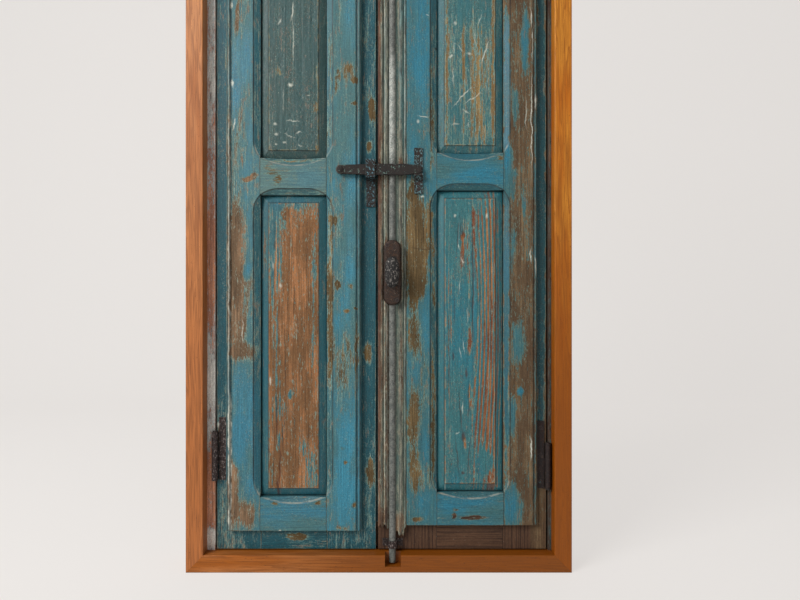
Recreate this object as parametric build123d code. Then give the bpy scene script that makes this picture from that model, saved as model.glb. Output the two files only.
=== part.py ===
"""An old pair of inward-opening panelled shutter leaves in a newer pine frame.

Millimetres. X is to the right seen from the room, Z is up, and the room is on the -Y side.
Depths are given behind the room face of the pine frame. The origin is the centre of the frame's
underside. Each leaf is a real frame-and-panel door: stiles with mortises and grooves, rails with
tenons, raised panels loose in the grooves, and stopped chamfers round every panel opening. The
right leaf carries a bolt: a knob turns a pinion between two racks, which pulls an upper and a
lower rod out of notches in the frame.
"""

import os
from dataclasses import dataclass
from math import acos, cos, pi, radians, sin, tan

from build123d import *

# How far a cutter goes past what it cuts, and how near a plane an edge must lie to be on it
OVERRUN = 1.0
ON_PLANE = 0.01

# Pine frame
FRAME_WIDTH = 754.0
FRAME_HEIGHT = 1554.0
FRAME_DEPTH = 90.0
CASING_FACE = 34.0
CASING_ROUND = 2.0
MITRE_GAP = 0.2

# Older frame inside the pine one
JAMB_REVEAL = 26.0
STOP_FRONT = 52.0
STOP_PROUD = 13.5
STOP_HEIGHT = 16.0

# Fixing holes through the jambs, behind the leaves
FIXING_RADIUS = 4.0
FIXING_DEPTH = 71.0
FIXING_SPACING = 1200.0

# Planes of the leaves, as depths behind the room face of the frame
FACE_PLANE = 14.0
STRIP_PLANE = 26.0
LEAF_BACK = 50.0

# Older jambs, and the running gaps round the leaves
LEFT_JAMB_WIDTH = 16.2
RIGHT_JAMB_WIDTH = 6.8
AXIS_DEPTH = 19.5
AXIS_TO_EDGE = 2.4
AXIS_TO_JAMB = 1.4
LEAF_FOOT_GAP = 3.0

# Meeting line: the right leaf's tongue lies behind the left leaf's lip
MEETING_LEFT = -7.0
MEETING_GAP = 5.0
LIP_BACK = 34.0
LIP_REBATE = 9.0
TONGUE_GAP_DEPTH = 3.0
TONGUE_REACH = 10.0

# Left leaf: widths from its edges, heights of its rails, and how far its face stays off its ends
LEFT_STRIP = 20.0
LEFT_BEAD = 12.0
LEFT_HINGE_STILE = 67.7
LEFT_MEETING_STILE = 96.8
LEFT_MEETING_STRIP = 27.5
LEFT_MEETING_BEAD = 10.5
LEFT_FACE_FOOT = 40.0
LEFT_FACE_HEAD = 40.0
LEFT_BOTTOM_RAIL = 106.0
LEFT_LOCK_LOW = 740.6
LEFT_LOCK_RAIL = 72.4
LEFT_TOP_RAIL = 106.0

# Right leaf, in the same order
RIGHT_STRIP = 19.8
RIGHT_BEAD = 8.0
RIGHT_HINGE_STILE = 66.0
RIGHT_MEETING_STILE = 115.9
RIGHT_FACE_FOOT = 51.0
RIGHT_FACE_HEAD = 32.0
RIGHT_BOTTOM_RAIL = 115.0
RIGHT_LOCK_LOW = 750.0
RIGHT_LOCK_RAIL = 73.0
RIGHT_TOP_RAIL = 96.0

# Joinery
FIT = 0.15
GROOVE_DEPTH = 8.0
TONGUE_THICK = 8.0
TONGUE_FRONT = 27.1
TENON_THICK = 12.0
TENON_FRONT = 33.0
TENON_LENGTH = 44.0
TENON_SHOULDER = 11.0
TENON_END_GAP = 0.6

# Edge bead of the stiles
BEAD_QUIRK = 1.2
BEAD_QUIRK_DEPTH = 2.6

# Stopped chamfers
CHAMFER_SLOPE = 1.875
STILE_CHAMFER = 14.0
STILE_STOP = 34.0
RAIL_ARC_BELOW = 17.0
RAIL_ARC_FOOT = 14.0
RAIL_ARCH = 13.0
RAIL_ARCH_STOP = 38.0

# Panels
FIELD_STEP = 1.0
FIELD_PLANE = 19.5
PANEL_BEVEL = 16.0
PANEL_PLAY = 0.5
PANEL_BACK = 41.0

# Hinges
KNUCKLE_RADIUS = 6.2
PIN_RADIUS = 3.0
PIN_CLEARANCE = 0.08
PIN_HEAD_RADIUS = 4.6
PIN_HEAD = 1.8
KNUCKLE_GAP = 0.3
PIN_FOOT = 1.0
PLATE_THICK = 2.5
LEAF_PLATE_REACH = 21.0
LEAF_PLATE_CLEAR = 0.6
JAMB_PLATE_BACK = 46.0
LEFT_KNUCKLE_LOW = 175.0
LEFT_KNUCKLE_LENGTH = 96.0
LEFT_PLATE_EXTRA = 28.0
RIGHT_KNUCKLE_LOW = 158.0
RIGHT_KNUCKLE_LENGTH = 90.0
RIGHT_PLATE_EXTRA = 44.0
JAMB_SCREW_DEPTH = 38.0
LEAF_PLATE_SCREWS = (0.1, 0.5, 0.9)
JAMB_PLATE_SCREWS = (0.2, 0.8)

# Screws
SCREW_HEAD_RADIUS = 3.6
SCREW_SHANK_RADIUS = 1.6
SCREW_SHANK_SIDES = 6
SCREW_HEAD_PROUD = 0.6
SCREW_SINK = 1.9
SCREW_LENGTH = 14.0
SCREW_CLEARANCE = 0.1
JAMB_SCREW_BITE = 3.6
CASE_SCREW_LENGTH = 34.0
GUIDE_SCREW_LENGTH = 12.0

# Bar latch
LATCH_FROM_MEETING = 68.6
LATCH_OVER_RAIL = 47.4
BAR_FRONT = 2.5
BAR_THICK = 5.0
BAR_END_RADIUS = 8.6
BAR_MIDDLE_HALF = 11.0
BAR_MIDDLE_START = 66.6
BAR_MIDDLE_END = 124.6
BAR_TIP_HALF = 7.4
BAR_TIP_END = 159.6
BAR_TIP_ROUND = 4.4
BAR_CHAMFER = 0.8
RIVET_RADIUS = 4.0
RIVET_HEAD_RADIUS = 8.5
RIVET_HEAD = 3.4
RIVET_COLLAR_RADIUS = 7.0
RIVET_TAIL = 22.0
LATCH_PLAY = 0.2
STAPLE_WIDTH = 18.0
STAPLE_TO_EDGE = 0.6
STAPLE_THICK = 3.0
STAPLE_ROUND = 2.4
STAPLE_FRONT = -2.0
STAPLE_OVER_BAR = 6.0
STAPLE_UNDER_BAR = 3.0
STAPLE_FOOT_DROP = 70.0
STAPLE_TAIL = 7.0
STAPLE_SCREW_IN = 6.5
STAPLE_SCREW_UP = 16.0
CATCH_FROM_MEETING = 71.4
CATCH_WIDTH = 16.7
CATCH_DROP = 46.0
CATCH_HEIGHT = 90.0
CATCH_THICK = 3.0
CATCH_SCREWS_UP = (8.1, 19.8, 79.2)
LEDGE_PROUD = 12.0
LEDGE_THICK = 3.0
LEDGE_ROOT = 14.0
LEDGE_EMBED = 0.5
LEDGE_GAP = 0.3

# Astragal strip on the right leaf
ASTRAGAL_WIDTH = 56.0
ASTRAGAL_FLOOR = 18.0
NOSING_WIDTH = 4.5
NOSING_CREST = 16.0
REED_NARROW = 5.5
REED_QUIRK = 1.5
REED_WIDE = 10.0
CHANNEL_WIDTH = 18.4
REED_OUTER = 10.5
REED_GAP = 0.5
ASTRAGAL_HEAD_GAP = 28.0
BREAK_OUTLINE = [
    (0.0, 47.0), (4.0, 53.0), (8.0, 46.0), (13.0, 52.0), (19.0, 43.0), (21.5, 47.0), (26.0, 37.0),
    (32.0, 33.0), (38.0, 39.0), (42.0, 29.0), (47.0, 33.0), (50.0, 27.0), (52.0, 43.0), (56.0, 51.0),
]

# Bolt
BOLT_FROM_MEETING = 28.3
BOLT_OVER_FOOT = 549.0
CASE_WIDTH = 33.3
CASE_LENGTH = 128.0
CASE_WALL = 3.0
CASE_FRONT_WALL = 2.5
CASE_FRONT = 0.0
CASE_ROUND = 5.0
BASE_THICK = 2.0
BEARING_RELIEF = 1.5
CASE_POCKET_GAP = 0.3
CASE_SCREW_SIDE = 9.6
CASE_SCREW_INSET = 10.0
ROD_WIDTH = 13.0
ROD_THICK = 8.5
ROD_BACK_GAP = 0.3
ROD_SLOT_GAP = 0.3
ROD_INTO_NOTCH = 18.0
NOTCH_WIDTH = 31.0
NOTCH_SHIFT = 1.2
NOTCH_DEPTH = 21.0
NOTCH_HEIGHT = 22.0
GUIDE_WALL = 2.2
GUIDE_GAP = 0.3
GUIDE_FOOT = 11.0
GUIDE_FOOT_THICK = 2.0
GUIDE_HEIGHT = 14.0
GUIDE_LOWER_UP = 14.0
GUIDE_MIDDLE_DOWN = 327.0
GUIDE_UPPER_DOWN = 77.0

# Rack and pinion of the bolt
MODULE = 1.5
TEETH = 10
FLANK_STEPS = 5
PRESSURE_ANGLE = 20.0
PINION_ADDENDUM = 1.5
PINION_DEDENDUM = 1.4
RACK_ADDENDUM = 0.9
RACK_DEDENDUM = 1.8
BACKLASH = 0.16
GEAR_FRONT = 11.0
GEAR_THICK = 6.0
RACK_WALL = 3.9
RACK_TEETH_BEHIND = 2
RACK_TEETH_AHEAD = 7
ROD_START = 36.0
BRIDGE_HEIGHT = 8.0
JOURNAL_FRONT_RADIUS = 4.5
JOURNAL_REAR_RADIUS = 3.0
JOURNAL_CLEARANCE = 0.07
SHANK_SIDE = 6.2
SHANK_LENGTH = 19.0
SHANK_CLEARANCE = 0.1

# Knob
KNOB_GAP = 0.5
KNOB_STEM_RADIUS = 7.5
KNOB_STEM = 9.0
KNOB_WIDTH = 29.0
KNOB_LENGTH = 61.0
KNOB_THICK = 18.0
KNOB_ROUND = 8.4
KNOB_PIN_RADIUS = 1.3
KNOB_PIN_DEPTH = -5.0
KNOB_PIN_SHORT = 0.6

FRONT = -FRAME_DEPTH / 2
INNER = CASING_FACE
INNER_TOP = FRAME_HEIGHT - CASING_FACE
INNER_SIDE = FRAME_WIDTH / 2 - CASING_FACE
LEAF_LOW = INNER + LEAF_FOOT_GAP
LEAF_HIGH = INNER_TOP - LEAF_FOOT_GAP
MEETING_RIGHT = MEETING_LEFT + MEETING_GAP
LATCH_X = MEETING_LEFT - LATCH_FROM_MEETING
LATCH_Z = LEFT_LOCK_LOW + LATCH_OVER_RAIL
STAPLE_LEFT = MEETING_LEFT - STAPLE_TO_EDGE - STAPLE_WIDTH
STAPLE_FOOT_LOW = LATCH_Z - STAPLE_FOOT_DROP
CATCH_LEFT = MEETING_RIGHT + CATCH_FROM_MEETING
CATCH_LOW = LATCH_Z - CATCH_DROP
ASTRAGAL_TOP = LEAF_HIGH - ASTRAGAL_HEAD_GAP
BOLT_X = MEETING_RIGHT + BOLT_FROM_MEETING
BOLT_Z = LEAF_LOW + BOLT_OVER_FOOT
GUIDE_LOWER_Z = LEAF_LOW + GUIDE_LOWER_UP
GUIDE_MIDDLE_Z = LEAF_HIGH - GUIDE_MIDDLE_DOWN
GUIDE_UPPER_Z = LEAF_HIGH - GUIDE_UPPER_DOWN
PITCH_RADIUS = MODULE * TEETH / 2
PITCH = pi * MODULE
ROD_BACK = ASTRAGAL_FLOOR - ROD_BACK_GAP
ROD_CROWN = ROD_BACK - ROD_THICK


@dataclass
class Leaf:
    """One leaf. side is -1 for the leaf hinged at the left and +1 for the one hinged at the right."""

    side: int
    jamb: float
    strip: float
    bead: float
    hinge_stile: float
    meeting: float
    meeting_stile: float
    face_foot: float
    face_head: float
    bottom_rail: float
    lock_low: float
    lock_rail: float
    top_rail: float

    @property
    def axis(self):
        """Hinge axis."""
        return self.side * (INNER_SIDE - self.jamb - AXIS_TO_JAMB)

    @property
    def edge(self):
        """Hinge edge of the leaf."""
        return self.axis - self.side * AXIS_TO_EDGE

    @property
    def face_outer(self):
        """Outer edge of the raised face, beside the strip that carries the hinges."""
        return self.edge - self.side * self.strip

    @property
    def arris_hinge(self):
        """Inner edge of the hinge stile."""
        return self.face_outer - self.side * self.hinge_stile

    @property
    def arris_meeting(self):
        """Inner edge of the meeting stile."""
        return self.meeting + self.side * self.meeting_stile

    @property
    def middle(self):
        """Centre line of the panels."""
        return (self.arris_hinge + self.arris_meeting) / 2

    @property
    def opening(self):
        """Clear width between the stiles."""
        return abs(self.arris_meeting - self.arris_hinge)

    @property
    def face_low(self):
        return LEAF_LOW + self.face_foot

    @property
    def face_high(self):
        return LEAF_HIGH - self.face_head

    @property
    def low_sill(self):
        """Lower edge of the lower panel opening."""
        return LEAF_LOW + self.bottom_rail

    @property
    def high_sill(self):
        """Lower edge of the upper panel opening."""
        return self.lock_low + self.lock_rail

    @property
    def high_head(self):
        """Upper edge of the upper panel opening."""
        return LEAF_HIGH - self.top_rail


LEFT = Leaf(
    side=-1, jamb=LEFT_JAMB_WIDTH, strip=LEFT_STRIP, bead=LEFT_BEAD, hinge_stile=LEFT_HINGE_STILE,
    meeting=MEETING_LEFT, meeting_stile=LEFT_MEETING_STILE, face_foot=LEFT_FACE_FOOT,
    face_head=LEFT_FACE_HEAD, bottom_rail=LEFT_BOTTOM_RAIL, lock_low=LEFT_LOCK_LOW,
    lock_rail=LEFT_LOCK_RAIL, top_rail=LEFT_TOP_RAIL,
)
RIGHT = Leaf(
    side=1, jamb=RIGHT_JAMB_WIDTH, strip=RIGHT_STRIP, bead=RIGHT_BEAD, hinge_stile=RIGHT_HINGE_STILE,
    meeting=MEETING_RIGHT, meeting_stile=RIGHT_MEETING_STILE, face_foot=RIGHT_FACE_FOOT,
    face_head=RIGHT_FACE_HEAD, bottom_rail=RIGHT_BOTTOM_RAIL, lock_low=RIGHT_LOCK_LOW,
    lock_rail=RIGHT_LOCK_RAIL, top_rail=RIGHT_TOP_RAIL,
)
LEFT_FACE_MEETING = MEETING_LEFT - LEFT_MEETING_STRIP


def block(x0, x1, d0, d1, z0, z1):
    """A square block between two X values, two depths and two heights."""
    size = Box(abs(x1 - x0), abs(d1 - d0), abs(z1 - z0))
    return Pos((x0 + x1) / 2, FRONT + (d0 + d1) / 2, (z0 + z1) / 2) * size


def round_z(x, depth, radius, z0, z1):
    """An upright round bar."""
    return Pos(x, FRONT + depth, (z0 + z1) / 2) * Cylinder(radius, z1 - z0)


def round_y(x, z, radius, d0, d1):
    """A round bar that runs from front to back."""
    return Pos(x, FRONT + (d0 + d1) / 2, z) * Rot(90, 0, 0) * Cylinder(radius, d1 - d0)


def plate_xz(points, d0, d1):
    """A flat outline in X and Z, as thick as the two depths are apart."""
    corners = [(x, 0, z) for x, z in points]
    outline = make_face(Polyline(*corners, close=True))
    return Pos(0, FRONT + d0, 0) * extrude(outline, amount=d1 - d0, dir=(0, 1, 0))


def bar_x(points, x0, x1):
    """An outline in depth and Z, carried along X."""
    corners = [(0, FRONT + d, z) for d, z in points]
    outline = make_face(Polyline(*corners, close=True))
    return Pos(x0, 0, 0) * extrude(outline, amount=x1 - x0, dir=(1, 0, 0))


def edges_at(shape, depth):
    """The edges of a shape that lie in the plane at a depth."""
    y = FRONT + depth
    return shape.edges().filter_by_position(Axis.Y, y - ON_PLANE, y + ON_PLANE)


def save(name, shape):
    """Write one piece to its own file."""
    export_step(shape, f"parts/{name}.step")


def shank(length, grow):
    """A screw's shank along Z, with few sides because the wood hides it."""
    section = RegularPolygon(SCREW_SHANK_RADIUS + grow, SCREW_SHANK_SIDES)
    return extrude(section, amount=length / 2, both=True)


def screw(x, z, seat, grow=0.0, length=SCREW_LENGTH):
    """A screw from the front: its sunk head stands just proud of the plate at the depth seat."""
    front = seat - SCREW_HEAD_PROUD - grow
    shoulder = seat + SCREW_SINK + grow
    end = seat + length + grow
    head = round_y(x, z, SCREW_HEAD_RADIUS + grow, front, shoulder)
    place = Pos(x, FRONT + (shoulder + end) / 2, z) * Rot(90, 0, 0)
    return head + place * shank(end - shoulder, grow)


def side_screw(side, x_face, depth, z, grow=0.0):
    """A screw that goes sideways into a jamb; its head is flush with the plate."""
    sink = SCREW_SINK + grow
    length = PLATE_THICK + JAMB_SCREW_BITE - SCREW_SINK
    head = Cylinder(SCREW_HEAD_RADIUS + grow, sink)
    turned = Rot(0, 90 * side, 0) * (head + Pos(0, 0, (sink + length) / 2) * shank(length, grow))
    return Pos(x_face + side * sink / 2, FRONT + depth, z) * turned


def stopped_chamfer(length, width, stop, x, z, turn):
    """Cutter for a chamfer of constant slope whose two ends run out in arcs.

    The middle is a sloping plane. Each end is part of a cone with the same slope, whose circle on
    the face touches the chamfer's line and comes down to the arris after the length called stop.
    """
    radius = (width**2 + stop**2) / (2 * width)
    depth = width / CHAMFER_SLOPE + OVERRUN
    cone = Cone(radius + CHAMFER_SLOPE * OVERRUN, radius - CHAMFER_SLOPE * depth, depth + OVERRUN)
    upright = Pos(0, (depth - OVERRUN) / 2, width - radius) * Rot(-90, 0, 0) * cone
    run = length / 2 - stop
    cutter = upright
    if run > OVERRUN:
        cutter = (Pos(-run, 0, 0) * upright) + (Pos(run, 0, 0) * upright)
        slope = [
            (-OVERRUN, width + CHAMFER_SLOPE * OVERRUN),
            (depth, width - CHAMFER_SLOPE * depth),
            (depth, -CHAMFER_SLOPE * depth),
            (-OVERRUN, -CHAMFER_SLOPE * depth),
        ]
        corners = [(0, d, v) for d, v in slope]
        wedge = extrude(make_face(Polyline(*corners, close=True)), amount=2 * run, dir=(1, 0, 0))
        cutter = cutter + Pos(-run, 0, 0) * wedge
    return Pos(x, FRONT + FACE_PLANE, z) * Rot(0, turn, 0) * cutter


def casing(corners, notch_z=None):
    """One mitred member of the pine frame, with a rounded front arris."""
    member = plate_xz(corners, 0, FRAME_DEPTH)
    longest = edges_at(member, 0).sort_by(SortBy.LENGTH)[-2:]
    member = fillet(longest, CASING_ROUND)
    if notch_z is not None:
        middle = BOLT_X + NOTCH_SHIFT
        x0 = middle - NOTCH_WIDTH / 2
        member -= block(x0, x0 + NOTCH_WIDTH, -OVERRUN, NOTCH_DEPTH, *notch_z)
    return member


def build_casing():
    """Four members whose mitres stay open by a hair."""
    half = FRAME_WIDTH / 2
    gap = MITRE_GAP / 2
    side = [
        (-half, gap), (-INNER_SIDE, INNER + gap), (-INNER_SIDE, INNER_TOP - gap),
        (-half, FRAME_HEIGHT - gap),
    ]
    foot = [
        (-half + gap, 0), (half - gap, 0), (INNER_SIDE - gap, INNER), (-INNER_SIDE + gap, INNER),
    ]
    fixings = fixing_holes()
    left = casing(side) - fixings
    right = casing([(-x, z) for x, z in side]) - fixings
    save("casing_left", left)
    save("casing_right", right)
    save("casing_bottom", casing(foot, (INNER - NOTCH_HEIGHT, INNER + OVERRUN)))
    head = [(x, FRAME_HEIGHT - z) for x, z in foot]
    save("casing_top", casing(head, (INNER_TOP - OVERRUN, INNER_TOP + NOTCH_HEIGHT)))


def fixing_holes():
    """Two holes through each jamb for the fixings into the wall."""
    reach = FRAME_WIDTH + 2 * OVERRUN
    holes = []
    for z in (-FIXING_SPACING / 2, FIXING_SPACING / 2):
        place = Pos(0, FRONT + FIXING_DEPTH, FRAME_HEIGHT / 2 + z)
        holes.append(place * Rot(0, 90, 0) * Cylinder(FIXING_RADIUS, reach))
    return holes[0] + holes[1]


def build_old_frame():
    """The older jambs with their stops, and the stop strips at head and sill."""
    fixings = fixing_holes()
    for name, leaf, hinges in (("left", LEFT, LEFT_HINGES), ("right", RIGHT, RIGHT_HINGES)):
        casing_side = leaf.side * INNER_SIDE
        face = leaf.axis + leaf.side * AXIS_TO_JAMB
        stop = face - leaf.side * STOP_PROUD
        jamb = block(casing_side, face, JAMB_REVEAL, FRAME_DEPTH, INNER, INNER_TOP)
        jamb += block(casing_side, stop, STOP_FRONT, FRAME_DEPTH, INNER, INNER_TOP)
        jamb -= fixings
        for hinge in hinges:
            jamb -= hinge.jamb_recess()
            for z in hinge.jamb_screw_heights():
                jamb -= side_screw(leaf.side, face, JAMB_SCREW_DEPTH, z, SCREW_CLEARANCE)
        save(f"old_jamb_{name}", jamb)
    left_stop = LEFT.axis - AXIS_TO_JAMB + STOP_PROUD
    right_stop = RIGHT.axis + AXIS_TO_JAMB - STOP_PROUD
    for name, z0 in (("old_sill_stop", INNER), ("old_head_stop", INNER_TOP - STOP_HEIGHT)):
        save(name, block(left_stop, right_stop, STOP_FRONT, FRAME_DEPTH, z0, z0 + STOP_HEIGHT))


@dataclass
class Hinge:
    """A butt hinge with three knuckles: the middle one belongs to the leaf."""

    leaf: Leaf
    low: float
    length: float
    plate_extra: float

    @property
    def third(self):
        return self.length / 3

    def knuckle(self, z0, z1):
        return round_z(self.leaf.axis, AXIS_DEPTH, KNUCKLE_RADIUS, z0, z1)

    def bore(self):
        radius = PIN_RADIUS + PIN_CLEARANCE
        high = self.low + self.length + OVERRUN
        return round_z(self.leaf.axis, AXIS_DEPTH, radius, self.low - OVERRUN, high)

    def leaf_screw_places(self):
        plate = self.length + self.plate_extra
        x = self.leaf.axis - self.leaf.side * (LEAF_PLATE_REACH + KNUCKLE_RADIUS + LEAF_PLATE_CLEAR) / 2
        return [(x, self.low + plate * share) for share in LEAF_PLATE_SCREWS]

    def jamb_screw_heights(self):
        return [self.low + self.length * share for share in JAMB_PLATE_SCREWS]

    def leaf_half(self):
        """Plate on the leaf's outer strip, with the middle knuckle."""
        side = self.leaf.side
        plate_front = STRIP_PLANE - PLATE_THICK
        outer = self.leaf.axis - side * LEAF_PLATE_REACH
        inner = self.leaf.axis - side * (KNUCKLE_RADIUS + LEAF_PLATE_CLEAR)
        z0 = self.low + self.third + KNUCKLE_GAP
        z1 = self.low + 2 * self.third - KNUCKLE_GAP
        half = self.knuckle(z0, z1)
        half += block(self.leaf.axis, inner, plate_front, STRIP_PLANE, z0, z1)
        top = self.low + self.length + self.plate_extra
        half += block(inner, outer, plate_front, STRIP_PLANE, self.low, top)
        half -= self.bore()
        for x, z in self.leaf_screw_places():
            half -= screw(x, z, plate_front, SCREW_CLEARANCE)
        return half

    def jamb_half(self):
        """Plate let into the side of the jamb, with the outer knuckles."""
        face = self.leaf.axis + self.leaf.side * AXIS_TO_JAMB
        back = face + self.leaf.side * PLATE_THICK
        high = self.low + self.length
        half = block(face, back, STRIP_PLANE, JAMB_PLATE_BACK, self.low, high)
        for z0, z1 in ((self.low, self.low + self.third), (high - self.third, high)):
            half += self.knuckle(z0, z1)
            half += block(face, back, AXIS_DEPTH, STRIP_PLANE, z0, z1)
        half -= self.bore()
        for z in self.jamb_screw_heights():
            half -= side_screw(self.leaf.side, face, JAMB_SCREW_DEPTH, z, SCREW_CLEARANCE)
        return half

    def jamb_recess(self):
        """Room for the plate in the jamb's side."""
        face = self.leaf.axis + self.leaf.side * (AXIS_TO_JAMB - OVERRUN)
        back = self.leaf.axis + self.leaf.side * (AXIS_TO_JAMB + PLATE_THICK)
        high = self.low + self.length + FIT
        return block(face, back, JAMB_REVEAL - OVERRUN, JAMB_PLATE_BACK + FIT, self.low - FIT, high)

    def pin(self):
        """Loose pin with a flat head, resting on the top knuckle."""
        high = self.low + self.length
        pin = round_z(self.leaf.axis, AXIS_DEPTH, PIN_RADIUS, self.low - PIN_FOOT, high)
        return pin + round_z(self.leaf.axis, AXIS_DEPTH, PIN_HEAD_RADIUS, high, high + PIN_HEAD)


def mirrored_low(low, length):
    """Lower end of the hinge at the top, as far from the head as the other is from the sill."""
    return FRAME_HEIGHT - low - length


LEFT_HINGES = [
    Hinge(LEFT, LEFT_KNUCKLE_LOW, LEFT_KNUCKLE_LENGTH, LEFT_PLATE_EXTRA),
    Hinge(LEFT, mirrored_low(LEFT_KNUCKLE_LOW, LEFT_KNUCKLE_LENGTH), LEFT_KNUCKLE_LENGTH, LEFT_PLATE_EXTRA),
]
RIGHT_HINGES = [
    Hinge(RIGHT, RIGHT_KNUCKLE_LOW, RIGHT_KNUCKLE_LENGTH, RIGHT_PLATE_EXTRA),
    Hinge(
        RIGHT, mirrored_low(RIGHT_KNUCKLE_LOW, RIGHT_KNUCKLE_LENGTH), RIGHT_KNUCKLE_LENGTH,
        RIGHT_PLATE_EXTRA,
    ),
]


def build_hinges():
    """Halves and pins of the four hinges, and the screws in the jambs."""
    jamb_screws = []
    for name, hinges in (("left", LEFT_HINGES), ("right", RIGHT_HINGES)):
        for level, hinge in zip(("lower", "upper"), hinges):
            save(f"leaf_hinge_{name}_{level}", hinge.leaf_half())
            save(f"jamb_hinge_{name}_{level}", hinge.jamb_half())
            save(f"hinge_pin_{name}_{level}", hinge.pin())
            face = hinge.leaf.axis + hinge.leaf.side * AXIS_TO_JAMB
            for z in hinge.jamb_screw_heights():
                jamb_screws.append(side_screw(hinge.leaf.side, face, JAMB_SCREW_DEPTH, z))
    save("jamb_hinge_screws", Compound(children=jamb_screws))


def panel_groove(leaf, z0, z1):
    """Groove that the panel between two heights lies in, cut out of stiles and rails alike."""
    reach = leaf.opening / 2 + GROOVE_DEPTH
    front = TONGUE_FRONT - FIT
    back = TONGUE_FRONT + TONGUE_THICK + FIT
    middle = leaf.middle
    return block(middle - reach, middle + reach, front, back, z0 - GROOVE_DEPTH, z1 + GROOVE_DEPTH)


def panel_openings(leaf):
    """The two panel openings, as pairs of heights."""
    return [(leaf.low_sill, leaf.lock_low), (leaf.high_sill, leaf.high_head)]


def rail_heights(leaf):
    """The three rails, as pairs of heights."""
    return [(LEAF_LOW, leaf.low_sill), (leaf.lock_low, leaf.high_sill), (leaf.high_head, LEAF_HIGH)]


def tenon(leaf, z0, z1, grow=0.0):
    """Both tenons of a rail as one bar through its length; with grow, the mortises for them."""
    reach = leaf.opening / 2 + TENON_LENGTH + (TENON_END_GAP if grow else 0)
    low = z0 + TENON_SHOULDER - grow
    high = z1 - TENON_SHOULDER + grow
    front = TENON_FRONT - grow
    back = TENON_FRONT + TENON_THICK + grow
    return block(leaf.middle - reach, leaf.middle + reach, front, back, low, high)


def stile_chamfer(leaf, arris, z0, z1):
    """Stopped chamfer along one side of a panel opening."""
    turn = 90 if arris > leaf.middle else -90
    return stopped_chamfer(z1 - z0, STILE_CHAMFER, STILE_STOP, arris, (z0 + z1) / 2, turn)


def finish_stile(leaf, stile, arris):
    """Grooves, mortises and chamfers of a stile."""
    for z0, z1 in panel_openings(leaf):
        stile -= panel_groove(leaf, z0, z1)
        stile -= stile_chamfer(leaf, arris, z0, z1)
    for z0, z1 in rail_heights(leaf):
        stile -= tenon(leaf, z0, z1, FIT)
    return stile


def edge_bead(outer, width, inward, z0, z1):
    """A round bead on the edge of the face layer, with the quirk that parts it from the face."""
    radius = width / 2
    centre = outer + inward * radius
    bead = round_z(centre, FACE_PLANE + radius, radius, z0, z1)
    bead += block(outer, outer + inward * width, FACE_PLANE + radius, STRIP_PLANE, z0, z1)
    quirk_end = outer + inward * (width + BEAD_QUIRK)
    quirk_floor = FACE_PLANE + BEAD_QUIRK_DEPTH
    bead += block(outer + inward * radius, quirk_end, quirk_floor, STRIP_PLANE, z0, z1)
    return bead, quirk_end


def hinge_stile(leaf, hinges):
    """Outer stile: a thinner strip at its edge carries the hinges."""
    inward = -leaf.side
    stile = block(leaf.edge, leaf.arris_hinge, STRIP_PLANE, LEAF_BACK, LEAF_LOW, LEAF_HIGH)
    bead, face_start = edge_bead(leaf.face_outer, leaf.bead, inward, leaf.face_low, leaf.face_high)
    stile += block(face_start, leaf.arris_hinge, FACE_PLANE, STRIP_PLANE, leaf.face_low, leaf.face_high)
    stile += bead
    for hinge in hinges:
        for x, z in hinge.leaf_screw_places():
            stile -= screw(x, z, STRIP_PLANE - PLATE_THICK, SCREW_CLEARANCE)
    return finish_stile(leaf, stile, leaf.arris_hinge)


def left_meeting_stile():
    """Meeting stile of the left leaf, with a bead, a recessed strip and a lip at its edge."""
    leaf = LEFT
    stile = block(leaf.arris_meeting, MEETING_LEFT, STRIP_PLANE, LEAF_BACK, LEAF_LOW, LEAF_HIGH)
    bead, face_start = edge_bead(LEFT_FACE_MEETING, LEFT_MEETING_BEAD, -1, leaf.face_low, leaf.face_high)
    stile += block(leaf.arris_meeting, face_start, FACE_PLANE, STRIP_PLANE, leaf.face_low, leaf.face_high)
    stile += bead
    lip = MEETING_LEFT - LIP_REBATE
    stile -= block(lip, MEETING_LEFT + OVERRUN, LIP_BACK, LEAF_BACK + OVERRUN, 0, FRAME_HEIGHT)
    stile -= staple_tail(FIT)
    stile -= rivet_hole()
    for x, z in staple_screw_places():
        stile -= screw(x, z, STRIP_PLANE - STAPLE_THICK, SCREW_CLEARANCE)
    return finish_stile(leaf, stile, leaf.arris_meeting)


def right_meeting_stile():
    """Meeting stile of the right leaf: a step for the astragal, and a tongue behind the other leaf."""
    leaf = RIGHT
    step = MEETING_RIGHT + ASTRAGAL_WIDTH
    stile = block(MEETING_RIGHT, leaf.arris_meeting, STRIP_PLANE, LEAF_BACK, LEAF_LOW, LEAF_HIGH)
    stile += block(step, leaf.arris_meeting, FACE_PLANE, STRIP_PLANE, leaf.face_low, leaf.face_high)
    tongue_front = LIP_BACK + TONGUE_GAP_DEPTH
    stile += block(
        MEETING_RIGHT - TONGUE_REACH, MEETING_RIGHT, tongue_front, LEAF_BACK, LEAF_LOW, LEAF_HIGH
    )
    for x, z in catch_screw_places():
        stile -= screw(x, z, FACE_PLANE - CATCH_THICK, SCREW_CLEARANCE)
    for x, z in lower_guide_screw_places():
        stile -= screw(x, z, STRIP_PLANE - GUIDE_FOOT_THICK, SCREW_CLEARANCE)
    for x, z in case_screw_places():
        stile -= screw(x, z, CASE_FRONT, SCREW_CLEARANCE, CASE_SCREW_LENGTH)
    return finish_stile(leaf, stile, leaf.arris_meeting)


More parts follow.
